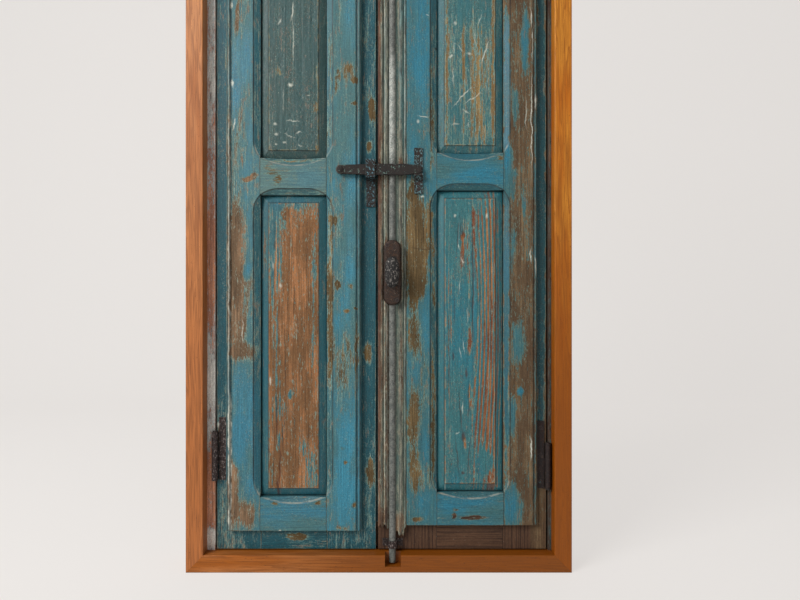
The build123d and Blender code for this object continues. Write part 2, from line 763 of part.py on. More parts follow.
def rail(leaf, z0, z1, cuts):
    """A rail between the stiles, thinner where it passes the leaf's outer strip."""
    low = max(z0, leaf.face_low)
    high = min(z1, leaf.face_high)
    x0 = min(leaf.arris_hinge, leaf.arris_meeting) + FIT
    x1 = max(leaf.arris_hinge, leaf.arris_meeting) - FIT
    piece = block(x0, x1, STRIP_PLANE, LEAF_BACK, z0, z1)
    piece += block(x0, x1, FACE_PLANE, STRIP_PLANE, low, high)
    piece += tenon(leaf, z0, z1)
    for opening in panel_openings(leaf):
        piece -= panel_groove(leaf, *opening)
    for width, stop, height, turn in cuts:
        piece -= stopped_chamfer(leaf.opening, width, stop, leaf.middle, height, turn)
    return piece


def build_rails(name, leaf):
    """Bottom, lock and top rail, with the arcs of their chamfers."""
    half = leaf.opening / 2
    foot = (RAIL_ARC_FOOT, half, leaf.low_sill, 180)
    arch = (RAIL_ARCH, RAIL_ARCH_STOP, leaf.lock_low, 0)
    bow = (RAIL_ARC_BELOW, half, leaf.high_sill, 180)
    crown = (RAIL_ARCH, RAIL_ARCH_STOP, leaf.high_head, 0)
    heights = rail_heights(leaf)
    save(f"{name}_bottom_rail", rail(leaf, *heights[0], [foot]))
    save(f"{name}_lock_rail", rail(leaf, *heights[1], [arch, bow]) - rivet_hole())
    save(f"{name}_top_rail", rail(leaf, *heights[2], [crown]))


def panel(leaf, z0, z1):
    """A raised panel: a tongue in the grooves, four bevels, and a field that stands up by a step."""
    middle = leaf.middle
    height = (z0 + z1) / 2
    tongue = GROOVE_DEPTH - PANEL_PLAY
    half = leaf.opening / 2
    back = TONGUE_FRONT + TONGUE_THICK
    reach = half + tongue
    piece = block(middle - reach, middle + reach, TONGUE_FRONT, back, z0 - tongue, z1 + tongue)
    field_wide = leaf.opening - 2 * PANEL_BEVEL
    field_tall = z1 - z0 - 2 * PANEL_BEVEL
    base = Plane(origin=(middle, FRONT + TONGUE_FRONT, height), x_dir=(1, 0, 0), z_dir=(0, -1, 0))
    rise = TONGUE_FRONT - FIELD_PLANE - FIELD_STEP
    outer = base * Rectangle(leaf.opening - 2 * PANEL_PLAY, z1 - z0 - 2 * PANEL_PLAY)
    inner = base.offset(rise) * Rectangle(field_wide, field_tall)
    piece += loft([outer, inner], ruled=True)
    piece += extrude(inner, amount=FIELD_STEP)
    back_half = half - PANEL_PLAY
    piece += block(
        middle - back_half, middle + back_half, back, PANEL_BACK, z0 + PANEL_PLAY, z1 - PANEL_PLAY
    )
    return piece


def build_panels(name, leaf):
    """Lower and upper panel of a leaf."""
    for level, (z0, z1) in zip(("lower", "upper"), panel_openings(leaf)):
        save(f"{name}_{level}_panel", panel(leaf, z0, z1))


def bar_underside(x):
    """Height of the bar's tapered underside at a place on its tip."""
    taper = (BAR_MIDDLE_HALF - BAR_TIP_HALF) / (BAR_TIP_END - BAR_MIDDLE_END)
    return LATCH_Z - BAR_MIDDLE_HALF + taper * (x - LATCH_X - BAR_MIDDLE_END)


def build_latch_bar():
    """Bar that turns on the rivet, widest in its middle, with a tapered and rounded tip."""
    bar_back = BAR_FRONT + BAR_THICK
    upper = [
        (0.0, BAR_END_RADIUS), (BAR_MIDDLE_START, BAR_MIDDLE_HALF), (BAR_MIDDLE_END, BAR_MIDDLE_HALF),
        (BAR_TIP_END, BAR_TIP_HALF),
    ]
    outline = upper + [(x, -z) for x, z in reversed(upper)]
    points = [(LATCH_X + x, LATCH_Z + z) for x, z in outline]
    bar = plate_xz(points, BAR_FRONT, bar_back)
    tip = bar.edges().filter_by(Axis.Y).sort_by(Axis.X)[-2:]
    bar = fillet(tip, BAR_TIP_ROUND)
    bar += round_y(LATCH_X, LATCH_Z, BAR_END_RADIUS, BAR_FRONT, bar_back)
    bar = chamfer(edges_at(bar, BAR_FRONT), BAR_CHAMFER)
    hole = RIVET_RADIUS + PIN_CLEARANCE
    return bar - round_y(LATCH_X, LATCH_Z, hole, BAR_FRONT - OVERRUN, bar_back + OVERRUN)


def latch_rivet():
    """Rivet with a domed head; a collar keeps the bar off the stile."""
    collar_front = BAR_FRONT + BAR_THICK + LATCH_PLAY
    head_back = BAR_FRONT - LATCH_PLAY
    rivet = round_y(LATCH_X, LATCH_Z, RIVET_RADIUS, head_back, FACE_PLANE + RIVET_TAIL)
    rivet += round_y(LATCH_X, LATCH_Z, RIVET_COLLAR_RADIUS, collar_front, FACE_PLANE)
    dome_radius = (RIVET_HEAD_RADIUS**2 + RIVET_HEAD**2) / (2 * RIVET_HEAD)
    centre = Pos(LATCH_X, FRONT + head_back - RIVET_HEAD + dome_radius, LATCH_Z)
    dome = centre * Sphere(dome_radius)
    slab_front = head_back - RIVET_HEAD - OVERRUN
    slab = round_y(LATCH_X, LATCH_Z, RIVET_HEAD_RADIUS + OVERRUN, slab_front, head_back)
    return rivet + (dome & slab)


def rivet_hole():
    """Hole for the rivet's tail, through the stile's face and the tenon behind it."""
    return round_y(LATCH_X, LATCH_Z, RIVET_RADIUS + FIT, 0, FACE_PLANE + RIVET_TAIL + FIT)


def staple_levels():
    """Inner heights of the staple: below the bar and above it at its highest."""
    low = LATCH_Z - BAR_MIDDLE_HALF - STAPLE_UNDER_BAR
    high = LATCH_Z + BAR_MIDDLE_HALF + STAPLE_OVER_BAR
    return low, high


def staple_tail(grow=0.0):
    """Tail of the staple's upper arm, driven into the stile."""
    high = staple_levels()[1]
    x1 = STAPLE_LEFT + STAPLE_WIDTH
    return block(
        STAPLE_LEFT - grow, x1 + grow, STRIP_PLANE - grow, STRIP_PLANE + STAPLE_TAIL + grow,
        high - grow, high + STAPLE_THICK + grow,
    )


def staple_screw_places():
    """One screw through the staple's foot."""
    return [(STAPLE_LEFT + STAPLE_SCREW_IN, STAPLE_FOOT_LOW + STAPLE_SCREW_UP)]


def latch_staple():
    """Strap staple: it goes over the bar, down in front of it and back to a long foot."""
    low, high = staple_levels()
    x1 = STAPLE_LEFT + STAPLE_WIDTH
    inside = STAPLE_FRONT + STAPLE_THICK
    loop = [
        (STRIP_PLANE, high + STAPLE_THICK), (STAPLE_FRONT, high + STAPLE_THICK),
        (STAPLE_FRONT, low - STAPLE_THICK), (STRIP_PLANE - STAPLE_THICK, low - STAPLE_THICK),
        (STRIP_PLANE - STAPLE_THICK, STAPLE_FOOT_LOW), (STRIP_PLANE, STAPLE_FOOT_LOW),
        (STRIP_PLANE, low), (inside, low), (inside, high), (STRIP_PLANE, high),
    ]
    staple = bar_x(loop, STAPLE_LEFT, x1)
    corners = staple.edges().filter_by(Axis.X).sort_by(Axis.Y)[:2]
    staple = fillet(corners, STAPLE_ROUND)
    staple += staple_tail()
    for x, z in staple_screw_places():
        staple -= screw(x, z, STRIP_PLANE - STAPLE_THICK, SCREW_CLEARANCE)
    return staple


def catch_screw_places():
    """Screws of the catch plate: one above the ledge and two below it."""
    x = CATCH_LEFT + CATCH_WIDTH / 2
    return [(x, CATCH_LOW + up) for up in CATCH_SCREWS_UP]


def latch_catch():
    """Plate with a ledge, which the bar's tapered tip lies on."""
    x1 = CATCH_LEFT + CATCH_WIDTH
    plate_front = FACE_PLANE - CATCH_THICK
    catch = block(CATCH_LEFT, x1, plate_front, FACE_PLANE, CATCH_LOW, CATCH_LOW + CATCH_HEIGHT)
    top = bar_underside(CATCH_LEFT) - LEDGE_GAP
    ledge = [
        (plate_front + LEDGE_EMBED, top), (plate_front - LEDGE_PROUD, top),
        (plate_front - LEDGE_PROUD, top - LEDGE_THICK),
        (plate_front + LEDGE_EMBED, top - LEDGE_ROOT),
    ]
    catch += bar_x(ledge, CATCH_LEFT, x1)
    for x, z in catch_screw_places():
        catch -= screw(x, z, plate_front, SCREW_CLEARANCE)
    return catch


def stadium(width, length, d0, d1):
    """A long block with half-round ends on the bolt's centre."""
    plane = Plane(origin=(BOLT_X, FRONT + d0, BOLT_Z), x_dir=(0, 0, 1), z_dir=(0, 1, 0))
    return extrude(plane * SlotOverall(length, width), amount=d1 - d0)


def astragal():
    """Reeded strip: a nosing, two reeds, the rod's channel, a reed and a bead; its foot is broken."""
    left = MEETING_RIGHT
    right = MEETING_RIGHT + ASTRAGAL_WIDTH - FIT
    low = LEAF_LOW + min(z for _, z in BREAK_OUTLINE) - OVERRUN
    strip = block(left, right, ASTRAGAL_FLOOR, STRIP_PLANE, low, ASTRAGAL_TOP)
    reeds = []
    x = left
    for width, crest, after in (
        (NOSING_WIDTH, NOSING_CREST, 0.0),
        (REED_NARROW, FACE_PLANE, REED_QUIRK),
        (REED_WIDE, FACE_PLANE, CHANNEL_WIDTH),
        (REED_OUTER, FACE_PLANE, REED_GAP),
    ):
        reeds.append((x, x + width, crest))
        x += width + after
    reeds.append((x, right, FACE_PLANE))
    for x0, x1, crest in reeds:
        radius = (x1 - x0) / 2
        strip += round_z((x0 + x1) / 2, crest + radius, radius, low, ASTRAGAL_TOP)
        if crest + radius < ASTRAGAL_FLOOR:
            strip += block(x0, x1, crest + radius, ASTRAGAL_FLOOR, low, ASTRAGAL_TOP)
    near = left - OVERRUN
    far = right + OVERRUN
    strip = strip & block(near, far, 0, STRIP_PLANE, low, ASTRAGAL_TOP)
    ragged = [(left + x, LEAF_LOW + z) for x, z in BREAK_OUTLINE]
    ragged = [(near, low - OVERRUN), (near, ragged[0][1])] + ragged
    ragged += [(far, ragged[-1][1]), (far, low - OVERRUN)]
    strip -= plate_xz(ragged, 0, STRIP_PLANE + OVERRUN)
    pocket = 2 * CASE_POCKET_GAP
    base_back = ASTRAGAL_FLOOR + BASE_THICK
    strip -= stadium(CASE_WIDTH + pocket, CASE_LENGTH + pocket, 0, base_back)
    relief = JOURNAL_REAR_RADIUS + JOURNAL_CLEARANCE
    strip -= round_y(BOLT_X, BOLT_Z, relief, ASTRAGAL_FLOOR, base_back + BEARING_RELIEF)
    for x, z in guide_screw_places():
        strip -= screw(x, z, FACE_PLANE - GUIDE_FOOT_THICK, SCREW_CLEARANCE, GUIDE_SCREW_LENGTH)
    for x, z in case_screw_places():
        strip -= screw(x, z, CASE_FRONT, SCREW_CLEARANCE, CASE_SCREW_LENGTH)
    return strip


def case_screw_places():
    """Two screws, at opposite corners of the case, clear of rods and racks."""
    up = CASE_LENGTH / 2 - CASE_SCREW_INSET
    return [(BOLT_X - CASE_SCREW_SIDE, BOLT_Z + up), (BOLT_X + CASE_SCREW_SIDE, BOLT_Z - up)]


def rod_section_cut(grow, z0, z1):
    """The rod's D section, grown by a gap: flat at the back and half round in front."""
    radius = ROD_WIDTH / 2 + grow
    round_centre = ROD_CROWN + ROD_WIDTH / 2
    section = round_z(BOLT_X, round_centre, radius, z0, z1)
    section += block(BOLT_X - radius, BOLT_X + radius, round_centre, ROD_BACK + grow, z0, z1)
    return section & block(BOLT_X - radius, BOLT_X + radius, 0, ROD_BACK + grow, z0, z1)


def bolt_base_plate():
    """Plate under the case, let into the astragal, with the pinion's rear bearing."""
    plate = stadium(CASE_WIDTH, CASE_LENGTH, ASTRAGAL_FLOOR, ASTRAGAL_FLOOR + BASE_THICK)
    bearing = JOURNAL_REAR_RADIUS + JOURNAL_CLEARANCE
    back = ASTRAGAL_FLOOR + BASE_THICK + OVERRUN
    plate -= round_y(BOLT_X, BOLT_Z, bearing, ASTRAGAL_FLOOR - OVERRUN, back)
    for x, z in case_screw_places():
        plate -= screw(x, z, CASE_FRONT, SCREW_CLEARANCE, CASE_SCREW_LENGTH)
    return plate


def bolt_case():
    """Hollow cover of the bolt, open at the back, with a way in for a rod at each end."""
    cover = stadium(CASE_WIDTH, CASE_LENGTH, CASE_FRONT, ASTRAGAL_FLOOR)
    cover = fillet(edges_at(cover, CASE_FRONT), CASE_ROUND)
    inner_width = CASE_WIDTH - 2 * CASE_WALL
    inner_length = CASE_LENGTH - 2 * CASE_WALL
    inner_front = CASE_FRONT + CASE_FRONT_WALL
    cover -= stadium(inner_width, inner_length, inner_front, ASTRAGAL_FLOOR + OVERRUN)
    outside = CASE_LENGTH / 2 + OVERRUN
    inside = CASE_LENGTH / 2 - 2 * CASE_WALL
    cover -= rod_section_cut(ROD_SLOT_GAP, BOLT_Z + inside, BOLT_Z + outside)
    cover -= rod_section_cut(ROD_SLOT_GAP, BOLT_Z - outside, BOLT_Z - inside)
    bearing = JOURNAL_FRONT_RADIUS + JOURNAL_CLEARANCE
    cover -= round_y(BOLT_X, BOLT_Z, bearing, CASE_FRONT - OVERRUN, inner_front + OVERRUN)
    for x, z in case_screw_places():
        cover -= screw(x, z, CASE_FRONT, SCREW_CLEARANCE, CASE_SCREW_LENGTH)
    return cover


def involute(angle):
    """Involute function of an angle in radians."""
    return tan(angle) - angle


def pinion_outline():
    """Outline of the pinion: involute flanks from the base circle to the tip, radial below it."""
    pressure = radians(PRESSURE_ANGLE)
    base = PITCH_RADIUS * cos(pressure)
    tip = PITCH_RADIUS + PINION_ADDENDUM
    root = PITCH_RADIUS - PINION_DEDENDUM
    half_pitch = pi / (2 * TEETH) - BACKLASH / (4 * PITCH_RADIUS)
    flank = []
    for step in range(FLANK_STEPS + 1):
        radius = base + (tip - base) * step / FLANK_STEPS
        half = half_pitch + involute(pressure) - involute(acos(min(1.0, base / radius)))
        flank.append((radius, half))
    flank.insert(0, (root, flank[0][1]))
    points = []
    for tooth in range(TEETH):
        centre = 2 * pi * tooth / TEETH
        rising = [(r, centre - half) for r, half in flank]
        falling = [(r, centre + half) for r, half in reversed(flank)]
        for radius, angle in rising + falling:
            points.append((BOLT_X + radius * cos(angle), BOLT_Z + radius * sin(angle)))
    return points


def bolt_pinion():
    """Pinion with its spindle: a bearing at each side, and a square shank for the knob."""
    gear_back = GEAR_FRONT + GEAR_THICK
    pinion = plate_xz(pinion_outline(), GEAR_FRONT, gear_back)
    rear_end = ASTRAGAL_FLOOR + BASE_THICK
    pinion += round_y(BOLT_X, BOLT_Z, JOURNAL_REAR_RADIUS, gear_back, rear_end)
    pinion += round_y(BOLT_X, BOLT_Z, JOURNAL_FRONT_RADIUS, CASE_FRONT, GEAR_FRONT)
    half = SHANK_SIDE / 2
    shank = block(
        BOLT_X - half, BOLT_X + half, CASE_FRONT - SHANK_LENGTH, CASE_FRONT, BOLT_Z - half, BOLT_Z + half
    )
    return pinion + shank - knob_pin(SCREW_CLEARANCE / 2)


def knob_pin(grow=0.0):
    """Pin across the knob's stem and the shank."""
    place = Pos(BOLT_X, FRONT + KNOB_PIN_DEPTH, BOLT_Z)
    length = 2 * KNOB_STEM_RADIUS - KNOB_PIN_SHORT
    return place * Rot(0, 90, 0) * Cylinder(KNOB_PIN_RADIUS + grow, length)


def bolt_knob():
    """Oval knob: a rounded grip on a round stem, with a square hole for the shank."""
    stem_back = CASE_FRONT - KNOB_GAP
    grip_back = stem_back - KNOB_STEM
    stem = round_y(BOLT_X, BOLT_Z, KNOB_STEM_RADIUS, grip_back - KNOB_ROUND, stem_back)
    grip = stadium(KNOB_WIDTH, KNOB_LENGTH, grip_back - KNOB_THICK, grip_back)
    rims = grip.edges().group_by(Axis.Y)
    knob = fillet(rims[0] + rims[-1], KNOB_ROUND) + stem
    half = SHANK_SIDE / 2 + SHANK_CLEARANCE
    hole_end = CASE_FRONT - SHANK_LENGTH - SHANK_CLEARANCE
    low = BOLT_Z - half
    knob -= block(BOLT_X - half, BOLT_X + half, hole_end, stem_back + OVERRUN, low, BOLT_Z + half)
    return knob - knob_pin(SCREW_CLEARANCE / 2)


def rack(hand):
    """Rack on the arm of a rod, beside the pinion; hand is -1 at the left and +1 at the right.

    It is worked out for the upper rod: teeth lie from below the pinion's centre up to the bridge.
    """
    slope = tan(radians(PRESSURE_ANGLE))
    half = PITCH / 4 - BACKLASH / 4
    tip = PITCH_RADIUS - RACK_ADDENDUM
    root = PITCH_RADIUS + RACK_DEDENDUM
    outer = root + RACK_WALL
    low = -RACK_TEETH_BEHIND * PITCH
    points = [(outer, low), (root, low)]
    for number in range(-RACK_TEETH_BEHIND, RACK_TEETH_AHEAD):
        centre = (number + 0.5) * PITCH
        wide = half + RACK_DEDENDUM * slope
        narrow = half - RACK_ADDENDUM * slope
        points += [(root, centre - wide), (tip, centre - narrow)]
        points += [(tip, centre + narrow), (root, centre + wide)]
    high = ROD_START + BRIDGE_HEIGHT
    points += [(root, high), (outer, high)]
    return [(hand * x, z) for x, z in points]


def rod(hand, up, end):
    """A rod with its rack. up is +1 for the upper rod and -1 for the lower one."""
    gear_back = GEAR_FRONT + GEAR_THICK
    outline = [(BOLT_X + x, BOLT_Z + up * z) for x, z in rack(hand)]
    arm = plate_xz(outline, GEAR_FRONT, gear_back)
    outer = PITCH_RADIUS + RACK_DEDENDUM + RACK_WALL
    bridge_low = BOLT_Z + up * ROD_START
    bridge_high = BOLT_Z + up * (ROD_START + BRIDGE_HEIGHT)
    bridge = block(BOLT_X, BOLT_X + hand * outer, GEAR_FRONT, gear_back, bridge_low, bridge_high)
    low, high = sorted((bridge_low, end))
    return rod_section_cut(0.0, low, high) + bridge + arm


def build_rods():
    """The upper rod has its rack at the left of the pinion, the lower one at the right."""
    save("upper_rod", rod(-1, 1, INNER_TOP + ROD_INTO_NOTCH))
    save("lower_rod", rod(1, -1, INNER - ROD_INTO_NOTCH))


def guide(z, seat):
    """Guide over a rod: an arch with two feet at the depth called seat."""
    z0 = z - GUIDE_HEIGHT / 2
    z1 = z + GUIDE_HEIGHT / 2
    inner = ROD_WIDTH / 2 + GUIDE_GAP
    outer = inner + GUIDE_WALL
    round_centre = ROD_CROWN + ROD_WIDTH / 2
    arch = round_z(BOLT_X, round_centre, outer, z0, z1)
    arch &= block(BOLT_X - outer, BOLT_X + outer, 0, min(round_centre, seat), z0, z1)
    if seat > round_centre:
        arch += block(BOLT_X - outer, BOLT_X + outer, round_centre, seat, z0, z1)
    left = BOLT_X - outer - GUIDE_FOOT
    right = BOLT_X + outer + GUIDE_FOOT
    arch += block(left, right, seat - GUIDE_FOOT_THICK, seat, z0, z1)
    below = z0 - OVERRUN
    above = z1 + OVERRUN
    arch -= round_z(BOLT_X, round_centre, inner, below, above)
    arch -= block(BOLT_X - inner, BOLT_X + inner, round_centre, seat + OVERRUN, below, above)
    return arch


def foot_screws(z):
    """A screw in each foot of a guide."""
    side = ROD_WIDTH / 2 + GUIDE_GAP + GUIDE_WALL + GUIDE_FOOT / 2
    return [(BOLT_X - side, z), (BOLT_X + side, z)]


def guide_screw_places():
    """Screws of the guides that sit on the astragal."""
    return foot_screws(GUIDE_MIDDLE_Z) + foot_screws(GUIDE_UPPER_Z)


def lower_guide_screw_places():
    """Screws of the guide below the broken end of the astragal."""
    return foot_screws(GUIDE_LOWER_Z)


def build_guides():
    """One guide on the bare foot of the stile and two on the astragal."""
    lower = guide(GUIDE_LOWER_Z, STRIP_PLANE)
    for x, z in lower_guide_screw_places():
        lower -= screw(x, z, STRIP_PLANE - GUIDE_FOOT_THICK, SCREW_CLEARANCE)
    save("rod_guide_lower", lower)
    for name, height in (("middle", GUIDE_MIDDLE_Z), ("upper", GUIDE_UPPER_Z)):
        piece = guide(height, FACE_PLANE)
        for x, z in foot_screws(height):
            piece -= screw(x, z, FACE_PLANE - GUIDE_FOOT_THICK, SCREW_CLEARANCE, GUIDE_SCREW_LENGTH)
        save(f"rod_guide_{name}", piece)


def hinge_screws(hinges):
    """Screws through the plates on a leaf."""
    seat = STRIP_PLANE - PLATE_THICK
    return [screw(x, z, seat) for hinge in hinges for x, z in hinge.leaf_screw_places()]


def build_leaf_screws():
    """The screws of each leaf, one group for each."""
    left = hinge_screws(LEFT_HINGES)
    left += [screw(x, z, STRIP_PLANE - STAPLE_THICK) for x, z in staple_screw_places()]
    save("left_leaf_screws", Compound(children=left))
    right = hinge_screws(RIGHT_HINGES)
    right += [screw(x, z, FACE_PLANE - CATCH_THICK) for x, z in catch_screw_places()]
    right += [screw(x, z, STRIP_PLANE - GUIDE_FOOT_THICK) for x, z in lower_guide_screw_places()]
    seat = FACE_PLANE - GUIDE_FOOT_THICK
    right += [screw(x, z, seat, 0.0, GUIDE_SCREW_LENGTH) for x, z in guide_screw_places()]
    right += [screw(x, z, CASE_FRONT, 0.0, CASE_SCREW_LENGTH) for x, z in case_screw_places()]
    save("right_leaf_screws", Compound(children=right))


def build_left_leaf():
    """All pieces of the left leaf."""
    save("left_hinge_stile", hinge_stile(LEFT, LEFT_HINGES))
    save("left_meeting_stile", left_meeting_stile())
    build_rails("left", LEFT)
    build_panels("left", LEFT)
    save("latch_bar", build_latch_bar())
    save("latch_rivet", latch_rivet())
    save("latch_staple", latch_staple())


def build_right_leaf():
    """All pieces of the right leaf."""
    save("right_hinge_stile", hinge_stile(RIGHT, RIGHT_HINGES))
    save("right_meeting_stile", right_meeting_stile())
    build_rails("right", RIGHT)
    build_panels("right", RIGHT)
    save("astragal", astragal())
    save("latch_catch", latch_catch())
    save("bolt_base_plate", bolt_base_plate())
    save("bolt_case", bolt_case())
    save("bolt_pinion", bolt_pinion())
    save("bolt_knob", bolt_knob())
    save("knob_pin", knob_pin())
    build_rods()
    build_guides()


os.makedirs("parts", exist_ok=True)
build_casing()
build_old_frame()
build_hinges()
build_left_leaf()
build_right_leaf()
build_leaf_screws()
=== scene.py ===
# %% [markdown]
# # A window with two old painted shutter leaves
# This lesson dresses a finished frame: the joiner's pieces are already there at their real size,
# and every one of them gets a surface that tells how old it is. The leaves were painted green, then
# blue, and a hundred years of rain, sun and hands took much of that paint off again. The frame round
# them is new, varnished pine. Lengths in tables are millimetres; the scene itself is in metres.

# %% Load the frame
from math import pi, radians

import bpy
import numpy as np
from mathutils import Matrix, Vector


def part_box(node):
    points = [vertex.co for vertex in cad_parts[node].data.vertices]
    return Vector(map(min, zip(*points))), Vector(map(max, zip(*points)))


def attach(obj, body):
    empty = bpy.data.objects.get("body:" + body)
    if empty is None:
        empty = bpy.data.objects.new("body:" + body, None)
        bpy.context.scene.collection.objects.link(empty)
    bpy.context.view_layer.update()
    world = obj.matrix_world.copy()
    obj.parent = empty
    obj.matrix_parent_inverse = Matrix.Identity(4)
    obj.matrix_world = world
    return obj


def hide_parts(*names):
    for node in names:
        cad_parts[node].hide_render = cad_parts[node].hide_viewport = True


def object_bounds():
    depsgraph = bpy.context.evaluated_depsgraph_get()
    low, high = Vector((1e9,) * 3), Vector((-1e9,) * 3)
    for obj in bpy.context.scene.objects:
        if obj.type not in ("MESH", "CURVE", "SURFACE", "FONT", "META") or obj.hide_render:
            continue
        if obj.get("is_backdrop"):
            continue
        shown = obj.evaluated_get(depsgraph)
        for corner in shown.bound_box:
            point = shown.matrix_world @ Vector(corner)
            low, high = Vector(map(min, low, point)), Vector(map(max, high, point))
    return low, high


MM = 0.001

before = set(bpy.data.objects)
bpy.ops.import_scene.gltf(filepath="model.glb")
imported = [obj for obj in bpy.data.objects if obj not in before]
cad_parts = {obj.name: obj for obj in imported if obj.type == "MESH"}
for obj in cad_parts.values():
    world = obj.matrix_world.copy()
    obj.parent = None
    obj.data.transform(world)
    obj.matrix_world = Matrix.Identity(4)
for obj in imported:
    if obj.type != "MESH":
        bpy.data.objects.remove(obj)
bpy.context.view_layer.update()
FACE_Y = float(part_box("casing_left")[0].y) / MM
print("pieces in the frame:", len(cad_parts), "room face at y", round(FACE_Y, 1), "mm")

# %% [markdown]
# ## The camera
# The picture was taken straight on, from a little over a metre, with the sill near its lower edge and
# the head of the window above its upper edge. A level camera keeps every upright line upright, so no
# shift is needed.

# %% Place the camera
CAMERA_PLACE = (41.4, -1215.0, 532.4)
LENS = 27.0
SENSOR = 36.0

camera = bpy.data.objects.new("camera", bpy.data.cameras.new("camera"))
bpy.context.scene.collection.objects.link(camera)
camera.location = Vector(CAMERA_PLACE) * MM
camera.rotation_euler = (radians(90), 0, 0)
camera.data.lens = LENS
camera.data.sensor_width = SENSOR
bpy.context.scene.camera = camera
print("camera at", tuple(round(v, 3) for v in camera.location))

# %% [markdown]
# ## A short way to write materials
# A material here is a graph of nodes. Writing each node and each link by hand would hide the idea
# behind the plumbing, so a small class keeps the graph, and each of its methods adds one kind of node
# and returns the socket that comes out of it. The formulas below then read almost like arithmetic.


# %% Node graph helper
def tone(red, green, blue):
    """A colour from display values of 0 to 255, as the linear light that nodes work in."""
    value = np.array([red, green, blue]) / 255
    linear = np.where(value <= 0.04045, value / 12.92, ((value + 0.055) / 1.055) ** 2.4)
    return (*(float(v) for v in linear), 1.0)


def blacker(colour, factor):
    """A plain colour times a factor."""
    return (*(c * factor for c in colour[:3]), 1.0)


class Graph:
    """A node tree. Its methods add nodes and return their output sockets."""

    def __init__(self, tree):
        self.tree = tree

    def feed(self, socket, value):
        """Link a socket, or set it when the value is plain."""
        if isinstance(value, bpy.types.NodeSocket):
            self.tree.links.new(value, socket)
        else:
            socket.default_value = value

    def fill(self, node, inputs):
        """Feed several inputs of a node, each named by its place or by its name."""
        for key, value in inputs.items() if isinstance(inputs, dict) else enumerate(inputs):
            self.feed(node.inputs[key], value)
        return node

    def node(self, kind, inputs=(), **settings):
        """A new node of a kind, with its settings and its inputs."""
        node = self.tree.nodes.new("ShaderNode" + kind)
        for name, value in settings.items():
            setattr(node, name, value)
        return self.fill(node, inputs)

    def math(self, operation, first, second=0.0, third=0.0):
        """One step of arithmetic."""
        return self.node("Math", (first, second, third), operation=operation).outputs[0]

    def add(self, *values):
        total = values[0]
        for value in values[1:]:
            total = self.math("ADD", total, value)
        return total

    def times(self, first, second):
        return self.math("MULTIPLY", first, second)

    def step(self, value, low, high, bottom=0.0, top=1.0):
        """A smooth rise from bottom to top while value goes from low to high."""
        inputs = (value, low, high, bottom, top)
        return self.node("MapRange", inputs, interpolation_type="SMOOTHSTEP").outputs[0]

    def swing(self, value, size):
        """A noise value of 0 to 1, centred on zero and scaled."""
        return self.math("MULTIPLY_ADD", value, size, -size / 2)

    def away(self, value, centre):
        """The distance of value from a centre."""
        return self.math("ABSOLUTE", self.math("SUBTRACT", value, centre))

    def line(self, value, centre, half, soft=0.5):
        """1 where value lies within half of a centre, with soft edges."""
        return self.step(self.away(value, centre), half, half + soft, 1.0, 0.0)

    def mix(self, share, first, second):
        """A colour between two."""
        return self.node("Mix", {0: share, 6: first, 7: second}, data_type="RGBA").outputs[2]

    def cover(self, colour, coat, value, low, high, most=1.0):
        """A coat over a colour: none of it where value is low, and most of it where value is high."""
        return self.mix(self.step(value, low, high, 0.0, most), colour, coat)

    def shade(self, colour, factor):
        """A colour made darker or lighter by a factor."""
        return self.node("VectorMath", {0: colour, "Scale": factor}, operation="SCALE").outputs[0]

    def seen(self, share):
        """share for what the camera sees directly, in metal or through glass, and 0 for light."""
        path = self.node("LightPath")
        total = path.outputs["Is Camera Ray"]
        for ray in ("Is Glossy Ray", "Is Transmission Ray"):
            total = self.math("MAXIMUM", total, path.outputs[ray])
        return self.times(total, share)


print("display grey 128 is linear", round(tone(128, 128, 128)[0], 4))

# %% [markdown]
# ## What a finish can look at
# A finish on a real thing depends on where a point is: along the grain, in a groove, on an arris, or
# under a drawn mark. These methods measure that in millimetres from the object's own coordinates, so
# nothing slides when a leaf swings open.


# %% Finish helper
SPOT_EDGE = (0.25, 1.35)


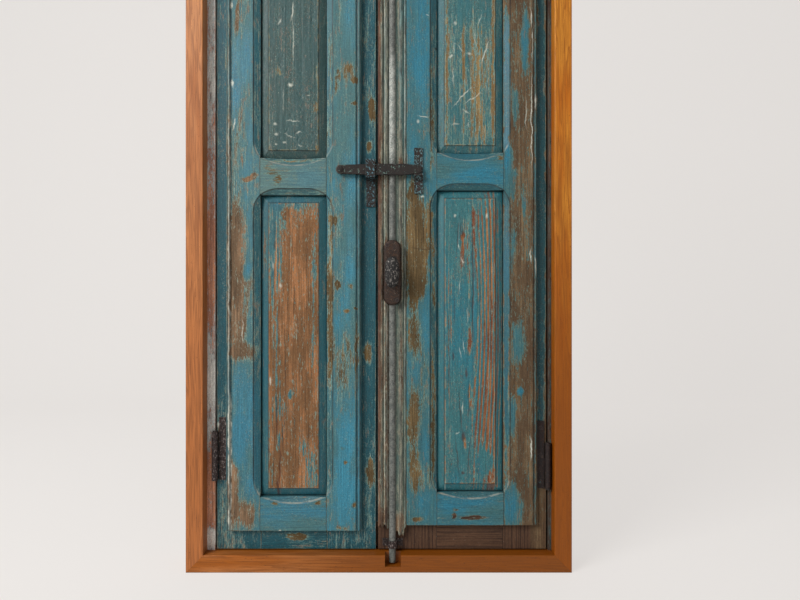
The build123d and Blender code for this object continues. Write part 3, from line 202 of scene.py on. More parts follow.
class Finish(Graph):
    """The node graph of one finish."""

    def __init__(self, name):
        self.material = bpy.data.materials.new(name)
        self.material.use_nodes = True
        super().__init__(self.material.node_tree)
        self.shader = self.tree.nodes["Principled BSDF"]
        self.place = self.node("TexCoord").outputs["Object"]

    def streaks(self, across, along, grain, shift=0.0, detail=4.0, rough=0.6, distortion=0.0):
        """Noise whose spots are about across by along millimetres, long along the grain."""
        sizes = [across, across, across]
        sizes["xyz".index(grain)] = along
        scaled = {"Vector": self.place, "Location": (shift, shift * 1.7, shift * 0.6),
                  "Scale": [1 / (size * MM) for size in sizes]}
        inputs = {"Vector": self.node("Mapping", scaled).outputs[0], "Scale": 1.0, "Detail": detail,
                  "Roughness": rough, "Distortion": distortion}
        return self.node("TexNoise", inputs).outputs["Fac"]

    def spots(self, marks, warped):
        """The sum of soft ellipses. A mark is (x, z, half width, half height, amount, lean in degrees)."""
        total = 0.0
        for mark in marks:
            x, z, wide, tall, amount = mark[:5]
            lean = mark[5] if len(mark) > 5 else 0.0
            ellipse = {"Vector": warped, "Location": (x * MM, 0, z * MM), "Rotation": (0, radians(lean), 0),
                       "Scale": (wide * MM, 1e3, tall * MM)}
            inside = self.node("Mapping", ellipse, vector_type="TEXTURE").outputs[0]
            length = self.node("VectorMath", [inside], operation="LENGTH").outputs["Value"]
            spot = self.step(length, *SPOT_EDGE, amount, 0.0)
            total = spot if total == 0.0 else self.add(total, spot)
        return total

    def warped(self, size, scale):
        """The place, pushed about by up to size millimetres, so that drawn shapes get ragged edges."""
        push = self.node("TexNoise", {"Vector": self.place, "Scale": scale, "Detail": 4.0}).outputs["Color"]
        inputs = (push, (2 * size * MM,) * 3, (-size * MM,) * 3)
        push = self.node("VectorMath", inputs, operation="MULTIPLY_ADD").outputs[0]
        return self.node("VectorMath", (push, self.place), operation="ADD").outputs[0]

    def axis(self, name):
        """One coordinate in millimetres; y counts from the room face of the frame inwards."""
        split = self.node("SeparateXYZ", [self.place])
        start = FACE_Y if name == "Y" else 0.0
        return self.math("MULTIPLY_ADD", split.outputs[name], 1 / MM, -start)

    def upward(self):
        """How far the surface looks up."""
        normal = self.node("NewGeometry").outputs["Normal"]
        return self.node("SeparateXYZ", [normal]).outputs["Z"]

    def layer(self, name):
        """A value that each point of the mesh carries."""
        return self.node("Attribute", attribute_name=name).outputs["Fac"]

    def rim(self, box):
        """Distance in millimetres outside a box of (left, right, foot, head); negative inside it."""
        left, right, foot, head = box
        across = self.math("SUBTRACT", self.away(self.axis("X"), (left + right) / 2), (right - left) / 2)
        along = self.math("SUBTRACT", self.away(self.axis("Z"), (foot + head) / 2), (head - foot) / 2)
        return self.math("MAXIMUM", across, along)

    def crevice(self, reach, inside=False):
        """How closed in the surface is within a reach in millimetres; inside, how near an arris is."""
        node = self.node("AmbientOcclusion", {"Distance": reach * MM}, samples=6, inside=inside,
                         only_local=inside)
        return self.math("SUBTRACT", 1.0, node.outputs["AO"])

    def finish(self, colour, rough, height, lift, metal=0.0):
        """Feed the shader. height is a relief from 0 to 1, and lift its full size in millimetres."""
        bump = self.node("Bump", {"Strength": 1.0, "Distance": lift * MM, "Height": height}).outputs[0]
        inputs = {"Base Color": colour, "Roughness": rough, "Metallic": metal, "Normal": bump}
        self.fill(self.shader, inputs)
        return self.material


def give(material, *nodes):
    """Put one finish on carried-over pieces."""
    for node in nodes:
        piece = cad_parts[node]
        piece.data.materials.clear()
        piece.data.materials.append(material)


print("a drawn spot fades between", SPOT_EDGE, "of its half size")

# %% [markdown]
# ## Floor and backdrop
# One pale sheet lies under the window and curves up behind it, as in a small photo studio. It is a
# profile carried sideways: flat, then a quarter circle, then upright. Its paper glows only where
# the camera sees it, so it looks pale and even but throws no extra light on the window.

# %% Make the stage
STAGE_FRONT = -4.0
STAGE_BACK = 2.9
STAGE_CURVE = 1.1
STAGE_TOP = 5.5
STAGE_HALF = 8.0
STAGE_COLOUR = (0.80, 0.785, 0.755, 1.0)
STAGE_SEEN = (0.88, 0.84, 0.81, 1.0)
STAGE_GLOW = 0.72
STAGE_TURNS = 25


def stage_sheet():
    """The profile runs back, turns up along a quarter circle, and climbs; X carries it sideways."""
    turn = np.linspace(0, pi / 2, STAGE_TURNS)
    curve = STAGE_BACK - STAGE_CURVE + STAGE_CURVE * np.sin(turn)
    depth = np.concatenate([[STAGE_FRONT], curve, [STAGE_BACK]])
    height = np.concatenate([[0.0], STAGE_CURVE * (1 - np.cos(turn)), [STAGE_TOP]])
    points = np.zeros((len(depth), 2, 3))
    points[..., 0] = [-STAGE_HALF, STAGE_HALF]
    points[..., 1] = depth[:, None]
    points[..., 2] = height[:, None]
    return points


def grid_quads(rows, columns, start=0):
    """Corner numbers of the squares between neighbouring rows and columns of a grid."""
    corner = start + np.arange(rows * columns).reshape(rows, columns)
    quads = [corner[:-1, :-1], corner[:-1, 1:], corner[1:, 1:], corner[1:, :-1]]
    return np.stack(quads, axis=-1).reshape(-1, 4)


def as_piece(name, mesh, smooth):
    """An object at the origin; faces that meet at less than smooth degrees are shaded as one."""
    mesh.shade_smooth()
    mesh.set_sharp_from_angle(angle=radians(smooth))
    piece = bpy.data.objects.new(name, mesh)
    bpy.context.scene.collection.objects.link(piece)
    return piece


def new_mesh(name, points, quads, smooth, carried=None):
    """A piece from an array of points in metres and an array of squares.

    carried holds named values for every point.
    """
    points = points.reshape(-1, 3)
    mesh = bpy.data.meshes.new(name)
    mesh.vertices.add(len(points))
    mesh.vertices.foreach_set("co", points.astype(np.float32).ravel())
    mesh.loops.add(quads.size)
    mesh.loops.foreach_set("vertex_index", quads.ravel())
    mesh.polygons.add(len(quads))
    mesh.polygons.foreach_set("loop_start", np.arange(0, quads.size, quads.shape[1]))
    mesh.update(calc_edges=True)
    for layer, values in (carried or {}).items():
        mesh.attributes.new(layer, "FLOAT", "POINT").data.foreach_set("value", values.astype(np.float32))
    return as_piece(name, mesh, smooth)


sheet = stage_sheet()
stage = new_mesh("stage", sheet, grid_quads(*sheet.shape[:2])[:, ::-1], 60)
stage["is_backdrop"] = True
paper = Finish("stage_paper")
paper.fill(paper.shader, {"Base Color": STAGE_COLOUR, "Roughness": 0.9})
glow = paper.node("Emission", (STAGE_SEEN, 1.0)).outputs[0]
both = paper.node("MixShader", (paper.seen(STAGE_GLOW), paper.shader.outputs[0], glow)).outputs[0]
paper.feed(paper.tree.nodes["Material Output"].inputs["Surface"], both)
stage.data.materials.append(paper.material)
print("stage rows:", sheet.shape[0])

# %% [markdown]
# ## Light
# One broad lamp stands at the upper left, as daylight does in a room, so each board's left edge
# catches light and its right edge falls dark. The world fills the shadows, and where the camera sees
# it directly it is as pale as the sheet. Together they light a surface that faces the room so that its
# colour comes out about as it is written.

# %% Place the lamp and the world light
LAMP_PLACE = Vector((-2.3, -2.3, 2.3))
LAMP_AIM = Vector((0.0, 0.0, 0.7))
LAMP_SIZE = 1.7
LAMP_POWER = 118.0
WORLD_COLOUR = (0.93, 0.97, 1.0, 1.0)
WORLD_STRENGTH = 0.38
FAR_WALL_STRENGTH = 0.9

lamp = bpy.data.objects.new("lamp", bpy.data.lights.new("lamp", "AREA"))
bpy.context.scene.collection.objects.link(lamp)
lamp.data.shape = "SQUARE"
lamp.data.size = LAMP_SIZE
lamp.data.energy = LAMP_POWER
lamp.location = LAMP_PLACE
lamp.rotation_euler = (LAMP_AIM - LAMP_PLACE).to_track_quat("-Z", "Y").to_euler()
world = bpy.data.worlds.new("room")
world.use_nodes = True
air = Graph(world.node_tree)
room = air.fill(air.tree.nodes["Background"], (WORLD_COLOUR, WORLD_STRENGTH)).outputs[0]
far_wall = air.node("Background", (STAGE_SEEN, FAR_WALL_STRENGTH)).outputs[0]
both = air.node("MixShader", (air.seen(1.0), room, far_wall)).outputs[0]
air.feed(air.tree.nodes["World Output"].inputs["Surface"], both)
bpy.context.scene.world = world
bpy.context.scene.view_settings.view_transform = "Standard"
print("lamp distance:", round((LAMP_AIM - LAMP_PLACE).length, 2), "m")

# %% [markdown]
# ## Varnished pine
# The outer frame is the only new wood. Pine shows a fine, slightly wavy grain: pale early wood and
# thin, darker late wood. It could be painted as a picture, but noise stretched forty times along the
# board gives endless grain that fits each member. A thin coat on top is the varnish.


# %% Pine finish
FLECK = tone(58, 30, 14)
PINE_CREVICE_SHADE = tone(60, 32, 16)


def varnished_pine(name, light, dark, grain, shift, low=1.0, fall=("Z", 900, 250)):
    """Rings are a stretched noise folded into bands, with fibres and flecks; low dims it along fall."""
    f = Finish(name)
    rings = f.streaks(9, 260, grain, shift, detail=2.0, rough=0.45, distortion=0.6)
    bands = f.math("FRACT", f.times(rings, 7.0))
    late = f.times(f.step(bands, 0.30, 0.92), f.step(bands, 1.0, 0.93))
    fibres = f.streaks(1.1, 60, grain, shift + 3)
    cloud = f.streaks(28, 240, grain, shift + 5, detail=2.0)
    flecks = f.streaks(1.6, 5, grain, shift + 9, detail=1.0)
    end = (dark[0] * low, dark[1] * low, dark[2] * low * min(1.0, low), 1.0)
    colour = f.cover(light, dark, cloud, 0.3, 0.7)
    colour = f.cover(colour, end, f.axis(fall[0]), *fall[1:])
    colour = f.mix(f.times(late, 0.55), colour, blacker(dark, 0.45))
    colour = f.cover(colour, blacker(dark, 0.5), fibres, 0.56, 0.38, 0.55)
    colour = f.cover(colour, FLECK, flecks, 0.70, 0.76, 0.65)
    # Painted shade: the pine darkens where the surface is closed in, in its reveals and against the pieces
    # beside it.
    colour = f.cover(colour, PINE_CREVICE_SHADE, f.crevice(6), 0.25, 0.9, 0.6)
    f.fill(f.shader, {"Coat Weight": 0.12, "Coat Roughness": 0.22, "Specular IOR Level": 0.25})
    height = f.add(f.times(fibres, 0.6), f.times(late, 0.4))
    return f.finish(colour, f.step(cloud, 0.2, 0.8, 0.42, 0.58), height, 0.12)


PINE_LEFT = (tone(196, 128, 74), tone(172, 102, 52))
PINE_RIGHT = (tone(208, 134, 42), tone(180, 94, 2))
PINE_FOOT = (tone(192, 122, 66), tone(164, 88, 16))
give(varnished_pine("pine_left", *PINE_LEFT, "z", 0.0, 1.12), "casing_left")
give(varnished_pine("pine_right", *PINE_RIGHT, "z", 21.0, 0.62), "casing_right")
give(varnished_pine("pine_foot", *PINE_FOOT, "x", 42.0, 0.66, ("X", -330, 60)), "casing_bottom")
give(varnished_pine("pine_head", *PINE_LEFT, "x", 63.0), "casing_top")
print("pine members:", 4)

# %% [markdown]
# ## Old paint on older wood
# On the leaves three layers show side by side: blue on top, a pale green ground below it, and bare
# wood where both are gone. One number per point, called wear, decides between them. It starts from a
# general level, gets listed spots where the photograph shows bare or sound paint, and gets noise
# in four sizes, all drawn out along the grain because paint lets go along the grain. Where wear
# passes a first limit the blue gives way to the ground, and past a second one the wood is bare.

# %% Paint colours
BLUE = tone(52, 118, 138)
BLUE_DULL = tone(66, 108, 110)
TEAL_IN_SHADE = tone(16, 74, 84)
RIGHT_PAINT = (tone(38, 116, 138), tone(56, 102, 106), tone(16, 66, 74))
GROUND = tone(116, 144, 132)
PRIMER = tone(118, 100, 88)
CHIP = tone(214, 214, 198)
SCAR_AND_GROOVE_SHADE = tone(66, 34, 30)
SEAM_AND_SHADE_LINE = tone(30, 24, 22)
PAINT_CREVICE_SHADE = tone(14, 24, 26)
BEVEL_WEAR = 0.30
OLIVE_WOOD = (tone(126, 102, 66), tone(86, 68, 40))
ORANGE_WOOD = (tone(162, 110, 70), tone(112, 78, 48))
RED_WOOD = (tone(88, 62, 44), tone(56, 37, 26))
WORN_THIN = (0.38, 0.47)
WORN_BARE = (0.52, 0.55)
RECESS = (14.5, 16.0)
DEEP_RECESS = (23.0, 26.0)
RUBBED_LIT_EDGE = 15.2
SHADED_EDGE = 14.8
OUTER_STRIP = (299, 303)
BEVEL = 16.0
print("blue thins at a wear of", WORN_THIN[0], "and the wood is bare at", WORN_BARE[1])

# %% [markdown]
# ## The coats of one board
# Every coat looks at the same few noises, so that a scratch in the blue and the wood that shows in it
# belong together. Sound paint is cloudy, duller where it wears thin, darker in the recesses with painted
# shade, and full of specks. Bare wood has dark grain lines and keeps shreds of the pale ground.


# %% Coats of paint
class Paint(Finish):
    """A finish with the noises that all coats of one board share, drawn out along its grain."""

    def __init__(self, name, grain, shift):
        super().__init__(name)
        self.grain, self.shift = grain, shift
        self.broad = self.grown(30, 120, 0, 3.0)
        self.ragged = self.grown(6, 24, 11, 8.0, 0.72)
        self.fine = self.grown(2.6, 9, 17, 4.0, 0.7)
        self.fibres = self.grown(1.7, 70, 23)
        self.specks = self.grown(2.0, 3.4, 53, 3.0, 0.78)

    def grown(self, across, along, number, detail=4.0, rough=0.6):
        """One noise of the board; its number sets it apart from the others."""
        return self.streaks(across, along, self.grain, self.shift + number, detail, rough)

    def wear(self, level, edge):
        """The general level, more on the arrises, and swings in four sizes."""
        arris = self.times(self.step(self.crevice(1.8, inside=True), 0.15, 0.7), edge)
        return self.add(
            self.swing(self.broad, 0.54), self.swing(self.ragged, 0.86), self.swing(self.fine, 0.66),
            self.swing(self.fibres, 0.62), level, arris,
        )

    def sound(self, worn, paint, coats, speck, deep):
        """The sound paint; coats are what shows through its specks and pits."""
        y = self.axis("Y")
        blue = self.cover(paint[0], paint[1], self.grown(50, 190, 37, 3.0, 0.55), 0.40, 0.62)
        blue = self.cover(blue, paint[1], worn, 0.10, 0.40, 0.80)
        # Painted shade: on the moulding and in the recesses behind the face, the blue darkens towards the
        # shade tone paint[2].
        blue = self.cover(blue, paint[2], y, *RECESS, 0.60)
        blue = self.cover(blue, paint[2], y, *DEEP_RECESS, deep)
        dusty = self.step(self.broad, 0.42, 0.60, 0.25, 1.0)
        for holes, coat in zip((self.specks, self.grown(1.8, 4.6, 59, 3.0, 0.78)), coats):
            blue = self.mix(self.times(self.step(holes, 0.56, 0.64, 0.0, speck), dusty), blue, coat)
        return blue

    def timber(self, wood, ground, foot):
        """The bare wood; below foot, but not on the outer strip, it never kept any paint."""
        grains = self.grown(3.2, 210, 61, 4.0, 0.62)
        bare = self.cover(wood[0], wood[1], self.broad, 0.38, 0.62)
        bare = self.cover(bare, wood[1], grains, 0.44, 0.58, 0.8)
        bare = self.cover(bare, blacker(wood[1], 0.45), self.fibres, 0.44, 0.32, 0.7)
        shreds = self.times(self.step(self.ragged, 0.53, 0.58), self.step(self.fine, 0.50, 0.58))
        if foot:
            shreds = self.times(shreds, self.foot_line(foot, 0.0, 1.0))
            inner = self.step(self.axis("X"), *OUTER_STRIP, 1.0, 0.0)
            lost = self.times(self.foot_line(foot, 1.0, 0.0), inner)
            bare = self.mix(lost, bare, self.cover(RED_WOOD[0], RED_WOOD[1], grains, 0.40, 0.60))
        return self.mix(self.times(shreds, 0.7), bare, ground)

    def foot_line(self, foot, below, above):
        """One value below the foot line of the paint and another above it."""
        return self.step(self.axis("Z"), foot - 2, foot + 1, below, above)

    def strongest(self, *lines):
        """The strongest of several lines at each point."""
        total = lines[0]
        for other in lines[1:]:
            total = self.math("MAXIMUM", total, other)
        return total


print("the outer strip starts at x", OUTER_STRIP[1], "mm")

# %% [markdown]
# ## The whole paint
# The coats are laid one on another by the wear, then come the things that cut through all of them:
# grit, chips, the pale line where a moulding's edge was rubbed, kept to its upward faces as a painted
# highlight, joint lines, cracks, painted shadow lines along mouldings and bevels, and painted shade in
# every crevice. The same values press the surface in, so a missing coat is also a shallow hollow.


# %% Paint finish
def old_paint(name, grain="z", wear=0.30, bare=(), pale=(), dark=(), shift=0.0,
              paint=(BLUE, BLUE_DULL, TEAL_IN_SHADE), ground=GROUND, wood=OLIVE_WOOD, speck=0.6,
              edge=0.30, joints=(), field=None, foot=None, drawn=False):
    """Blue over a pale ground over wood.

    bare, pale and dark are lists of drawn spots. joints are the X values of joint lines, field is
    the box of a raised panel's field, and foot is the height below which the wood kept no paint.
    With drawn, the mesh itself carries the drawn layers as attributes.
    """
    # The third tone of paint is painted shade; it darkens the recesses and the bevels round a field.
    f = Paint(name, grain, shift)
    here = f.warped(6.0, 50.0)
    worn = f.wear(wear, edge)
    if drawn:
        worn = f.add(worn, f.layer("bare"))
    if bare:
        worn = f.add(worn, f.spots(bare, here))
    if foot:
        worn = f.add(worn, f.foot_line(foot, 0.8, 0.0))
    if field:
        away = f.rim(field)
        worn = f.add(worn, f.step(away, -0.4, 0.4, 0.0, BEVEL_WEAR - wear))
    naked = f.step(worn, *WORN_BARE)
    thin = f.step(worn, *WORN_THIN)

    under = f.cover(ground, paint[1], f.fine, 0.42, 0.60)
    under = f.cover(under, PRIMER, f.ragged, 0.54, 0.62, 0.8)
    colour = f.mix(thin, f.sound(worn, paint, (ground, wood[1]), speck, 0.5 if field else 1.0), under)
    colour = f.mix(naked, colour, f.timber(wood, ground, foot))
    sand = f.grown(2.0, 2.6, 29, 4.0, 0.75)
    colour = f.shade(colour, f.add(f.swing(sand, 1.4), f.swing(f.fibres, 1.5), f.swing(f.fine, 0.9), 1.0))
    flecks = f.times(f.step(f.specks, 0.69, 0.74, 0.0, speck), f.step(f.broad, 0.62, 0.42, 0.35, 1.0))
    colour = f.mix(flecks, colour, CHIP)
    relief = f.add(
        f.times(naked, -0.5), f.times(thin, -0.25), f.times(f.fibres, 0.4), f.times(f.ragged, 0.3),
    )

    if drawn or pale:
        light = f.layer("pale") if drawn else f.spots(pale, here)
        light = f.times(light, f.step(f.specks, 0.36, 0.52, 0.45, 1.0))
        colour = f.mix(light, colour, CHIP)
        relief = f.add(relief, f.times(light, -0.3))
    y, up = f.axis("Y"), f.upward()
    # A rubbed moulding edge kept to faces that look up: wear and a painted highlight together.
    rubbed = f.times(f.line(y, RUBBED_LIT_EDGE, 0.5), f.step(up, 0.02, 0.2))
    colour = f.mix(f.times(rubbed, f.step(f.ragged, 0.42, 0.56, 0.12, 0.6)), colour, blacker(CHIP, 0.55))
    # Painted shadow: a dark line along the moulding's edge, faint where it faces up; the joint lines and
    # drawn dark spots that join it are real.
    marks = f.times(f.line(y, SHADED_EDGE, 0.4), f.step(f.ragged, 0.40, 0.60, 1.0, 0.6))
    marks = f.times(marks, f.step(up, 0.02, 0.2, 1.0, 0.3))
    marks = f.strongest(marks, *(f.line(f.axis("X"), joint, 0.5, 0.6) for joint in joints))
    if field:
        # Painted shade: the bevel round the field darkens towards the shade tone.
        colour = f.cover(colour, paint[2], away, 0.0, 1.0, 0.4)
        worn_arris = f.times(f.line(away, -1.2, 0.6, 0.8), f.step(f.ragged, 0.44, 0.54, 0.0, 0.7))
        colour = f.mix(worn_arris, colour, f.cover(ground, wood[0], f.fine, 0.45, 0.55))
        # Painted shadow lines at the field's step and along the foot of the bevel.
        bevel_top = f.times(f.line(away, 0.6, 0.5, 0.6), 0.8)
        marks = f.strongest(marks, bevel_top, f.line(away, BEVEL, 0.9, 0.9))
    if dark:
        marks = f.strongest(marks, f.spots(dark, here))
    if drawn:
        # The dark layer: cracks and scars, and on the reeded strip also painted shade along the grooves.
        colour = f.mix(f.times(f.layer("dark"), 0.85), colour, SCAR_AND_GROOVE_SHADE)
        relief = f.add(relief, f.times(f.layer("dark"), -1.0))
    colour = f.mix(f.times(marks, 0.85), colour, SEAM_AND_SHADE_LINE)
    relief = f.add(relief, f.times(marks, -0.7))
    # Painted shade: darker where the surface is closed in, in grooves, corners and between parts.
    colour = f.cover(colour, PAINT_CREVICE_SHADE, f.crevice(4.5), 0.42, 0.92, 0.8)
    f.fill(f.shader, {"Specular IOR Level": 0.35})
    return f.finish(colour, f.step(worn, 0.3, 0.54, 0.50, 0.85), relief, 0.6)


print("paint layers:", 3)

# %% [markdown]
# ## The boards of the left leaf
# Each board is its own piece of wood with its own story, so each gets its own spots, read off the
# photograph: x and z in millimetres, half width, half height, and how much wear it adds. A
# negative amount is a place where the blue is sound.

# %% Left leaf boards
LEFT_JOINTS = (-235.3, -103.8)
LEFT_HINGE_BARE = [
    (-281, 640, 24, 100, 0.34), (-257, 650, 8, 60, -0.16), (-260, 590, 10, 20, -0.30),
    (-283, 500, 24, 90, 0.34), (-256, 500, 7, 60, -0.12), (-268, 428, 28, 20, 0.30),
    (-270, 330, 34, 60, -0.30), (-264, 250, 28, 60, -0.34), (-289, 150, 12, 70, 0.55),
    (-262, 108, 26, 28, 0.34), (-252, 180, 14, 40, -0.30),
    (-254, 773, 16, 6, 0.55, -20), (-282, 850, 26, 90, 0.10), (-284, 960, 14, 90, -0.24),
    (-262, 1000, 12, 70, -0.12), (-280, 1090, 5, 40, 0.26), (-298, 880, 5, 300, 0.10),
    (-313, 262, 8, 30, 0.45),
    (-313, 700, 9, 400, -0.25), (-256, 600, 10, 130, 0.16),
    (-270, 1110, 24, 50, 0.10), (-268, 392, 24, 60, -0.16),
]
LEFT_HINGE_PALE = [
    (-294.6, 230, 3.4, 112, 1.3), (-294.2, 104, 3.0, 36, 1.3), (-292, 1115, 3, 8, 0.8),
    (-331, 1090, 4, 14, 0.8), (-286, 880, 1.6, 12, 0.8, 12), (-318, 283, 7, 5, 0.8),
    (-296.5, 640, 2.4, 420, 0.6), (-290, 960, 2.5, 9, 0.8), (-270, 470, 1.5, 24, 0.6),
]
LEFT_MEETING_BARE = [
    (-97, 540, 7, 260, 0.30), (-97, 960, 6, 150, 0.18), (-57, 1080, 18, 50, -0.20),
    (-60, 985, 22, 24, 0.20), (-60, 990, 9, 9, 0.24), (-82, 965, 6, 30, 0.24),
    (-48, 965, 8, 8, 0.4), (-50, 920, 7, 6, 0.35), (-60, 850, 26, 50, -0.16),
    (-45, 860, 6, 10, 0.35), (-52, 650, 16, 190, -0.32), (-80, 650, 8, 160, 0.06),
    (-90, 690, 9, 10, 0.4), (-80, 562, 6, 10, 0.4), (-57, 560, 6, 8, 0.5),
    (-47, 516, 5, 5, 0.5), (-62, 512, 9, 5, 0.42), (-70, 415, 26, 70, 0.18),
    (-44, 430, 4, 80, 0.26), (-60, 200, 30, 110, -0.30), (-66, 213, 5, 6, 0.7),
    (-50, 128, 5, 8, 0.6), (-70, 238, 4, 5, 0.4), (-22, 430, 9, 26, 0.45),
    (-18, 190, 9, 34, 0.45), (-16, 912, 7, 30, 0.42), (-20, 838, 8, 14, 0.42),
    (-20, 540, 14, 120, -0.25), (-73, 82, 14, 6, 0.3),
]
LEFT_FOOT_BARE = [
    (-170, 110, 70, 34, -0.20), (-164, 61, 24, 8, 0.50), (-205, 130, 8, 4, 0.4),
    (-120, 132, 8, 4, 0.4), (-200, 60, 60, 14, -0.05),
]
LEFT_LOCK_BARE = [
    (-200, 770, 10, 18, 0.22), (-165, 776, 6, 10, 0.18), (-215, 790, 14, 14, 0.14),
    (-135, 776, 40, 26, -0.20), (-170, 808, 60, 4, 0.20),
]

LEFT_BOARDS = {
    "hinge_stile": dict(
        name="left_hinge_paint", wear=0.36, bare=LEFT_HINGE_BARE, pale=LEFT_HINGE_PALE,
        ground=tone(140, 154, 138), wood=(tone(144, 112, 84), tone(102, 80, 58)),
    ),
    "meeting_stile": dict(
        name="left_meeting_paint", wear=0.33, bare=LEFT_MEETING_BARE,
        paint=(tone(54, 130, 152), BLUE_DULL, TEAL_IN_SHADE), ground=tone(130, 154, 142),
    ),
    "bottom_rail": dict(
        name="left_foot_paint", wear=0.32, bare=LEFT_FOOT_BARE, pale=[(-195, 78, 3, 3, 1.0)],
    ),
    "lock_rail": dict(
        name="left_lock_paint", wear=0.36, bare=LEFT_LOCK_BARE,
        paint=(tone(70, 114, 122), tone(84, 114, 110), TEAL_IN_SHADE),
    ),
    "top_rail": dict(name="left_head_paint", wear=0.34),
}
SHIFT = 70.0


def paint_leaf(side, boards, joints, shift):
    """Each board has its own paint. A rail's grain runs sideways, and it shows the joint lines."""
    for board, options in boards.items():
        if board.endswith("rail"):
            options = dict(options, grain="x", joints=joints)
        give(old_paint(shift=shift, **options), f"{side}_{board}")
        shift += SHIFT
    print(side, "boards:", len(boards))


paint_leaf("left", LEFT_BOARDS, LEFT_JOINTS, 0.0)

# %% [markdown]
# ## The boards of the right leaf
# The right leaf lost more: its hinge stile is nearly bare, and a long scar runs down beside the bolt.
# Below the raised face the wood never kept its paint at all.

# %% Right leaf boards
RIGHT_JOINTS = (113.9, 246.6)
RIGHT_FOOT = 87.0
RIGHT_MEETING_BARE = [
    (74, 650, 30, 100, 0.44), (70, 560, 26, 50, 0.34), (57, 560, 4, 60, -0.15),
    (100, 475, 14, 60, -0.25), (66, 470, 14, 50, 0.24), (74, 392, 10, 30, -0.15),
    (66, 300, 14, 60, 0.34), (92, 270, 8, 80, -0.15), (70, 200, 14, 50, 0.25),
    (90, 130, 24, 34, -0.24), (76, 100, 14, 6, 0.4), (85, 1000, 26, 150, -0.14),
    (70, 810, 20, 40, -0.16), (66, 745, 9, 24, 0.34), (104, 900, 5, 200, 0.16),
    (107, 420, 5, 300, 0.24), (100, 700, 5, 60, 0.2), (84, 320, 24, 80, 0.10), (84, 170, 26, 60, 0.10),
    (84, 430, 24, 60, 0.10),
]
RIGHT_MEETING_PALE = [
    (88, 895, 12, 1.4, 0.6), (76, 885, 3, 3, 0.6), (96, 1095, 4, 1.2, 0.5), (86, 735, 5, 2, 0.8),
]
RIGHT_HINGE_BARE = [
    (288, 1050, 9, 80, -0.34), (268, 915, 9, 46, -0.30), (256, 790, 16, 60, -0.34),
    (286, 720, 6, 24, -0.26), (264, 640, 9, 60, -0.22), (276, 450, 15, 50, -0.32),
    (279, 352, 7, 9, -0.5), (262, 300, 12, 50, -0.20), (262, 128, 24, 50, -0.42),
    (252, 600, 6, 430, -0.50), (309, 700, 4, 600, -0.24), (322, 700, 10, 520, -0.75),
    (322, 250, 9, 50, 0.20), (322, 110, 9, 60, 0.2), (253, 980, 7, 150, -0.45),
]
RIGHT_HINGE_PALE = [
    (309, 925, 2.4, 16, 1.0), (300, 620, 1.6, 14, 0.9), (309, 600, 1.6, 22, 0.9),
    (301, 880, 1.2, 100, 0.8), (300, 240, 1.8, 24, 1.0), (300, 1090, 1.6, 18, 0.8),
    (304, 1040, 1.4, 40, 0.7), (290, 900, 1.2, 30, 0.6),
]
RIGHT_FOOT_BARE = [
    (178, 128, 70, 24, -0.24), (148, 108, 7, 8, 0.5), (187, 104, 28, 4.5, 0.65),
    (152, 120, 8, 4, 0.4), (228, 116, 14, 5, 0.2),
]
RIGHT_LOCK_BARE = [(180, 780, 80, 30, -0.22), (186, 776, 22, 4, 0.22), (240, 812, 8, 6, 0.3)]
LOST_WOOD = (tone(122, 100, 72), tone(84, 64, 44))

RIGHT_BOARDS = {
    "meeting_stile": dict(
        name="right_meeting_paint", wear=0.35, bare=RIGHT_MEETING_BARE, pale=RIGHT_MEETING_PALE,
        dark=[(82, 634, 22, 0.8, 0.8), (114, 1030, 3.2, 3.2, 1.0)], paint=RIGHT_PAINT, foot=RIGHT_FOOT,
    ),
    "hinge_stile": dict(
        name="right_hinge_paint", wear=0.66, bare=RIGHT_HINGE_BARE, pale=RIGHT_HINGE_PALE,
        paint=RIGHT_PAINT, ground=tone(104, 128, 116), wood=LOST_WOOD, foot=RIGHT_FOOT,
    ),
    "bottom_rail": dict(
        name="right_foot_paint", wear=0.31, bare=RIGHT_FOOT_BARE, paint=RIGHT_PAINT, wood=RED_WOOD,
        foot=RIGHT_FOOT,
    ),
    "lock_rail": dict(name="right_lock_paint", wear=0.32, bare=RIGHT_LOCK_BARE, paint=RIGHT_PAINT),
    "top_rail": dict(name="right_head_paint", wear=0.34),
}
paint_leaf("right", RIGHT_BOARDS, RIGHT_JOINTS, 5 * SHIFT)

# %% [markdown]
# ## The older frame
# Between the pine and the leaves stand the jambs of the first frame. They were painted white, then
# blue-grey, and scraped when the pine went in, so hardly one colour covers more than a hand's width.

# %% Old jambs and stops
WHITE_PAINT = (tone(236, 230, 216), tone(206, 208, 202), tone(224, 220, 210))
OLD_JAMB_BARE = [
    (-335, 620, 12, 150, 0.30), (-335, 980, 12, 70, -0.05), (-335, 360, 12, 60, -0.2),
    (-335, 150, 12, 90, 0.5), (-335, 60, 12, 22, -0.4),
]
SCRAPED_PAINT = (tone(104, 116, 112), tone(72, 76, 70), tone(30, 44, 44))
STOP_PAINT = (tone(120, 124, 116), tone(98, 96, 88), tone(70, 66, 58))
left_jamb = old_paint(
    "left_jamb_paint", "z", 0.46, OLD_JAMB_BARE, shift=10 * SHIFT, paint=WHITE_PAINT,
    ground=tone(184, 192, 192), wood=(tone(232, 164, 124), tone(178, 124, 100)),
)
right_jamb = old_paint(
    "right_jamb_paint", "z", 0.58, shift=11 * SHIFT, paint=SCRAPED_PAINT,
    ground=tone(80, 92, 88), wood=(tone(96, 76, 58), tone(56, 40, 32)),
)
stops = old_paint("stop_paint", "x", 0.5, shift=12 * SHIFT, paint=STOP_PAINT, wood=RED_WOOD)
give(left_jamb, "old_jamb_left")
give(right_jamb, "old_jamb_right")
give(stops, "old_head_stop", "old_sill_stop")
print("older pieces:", 4)

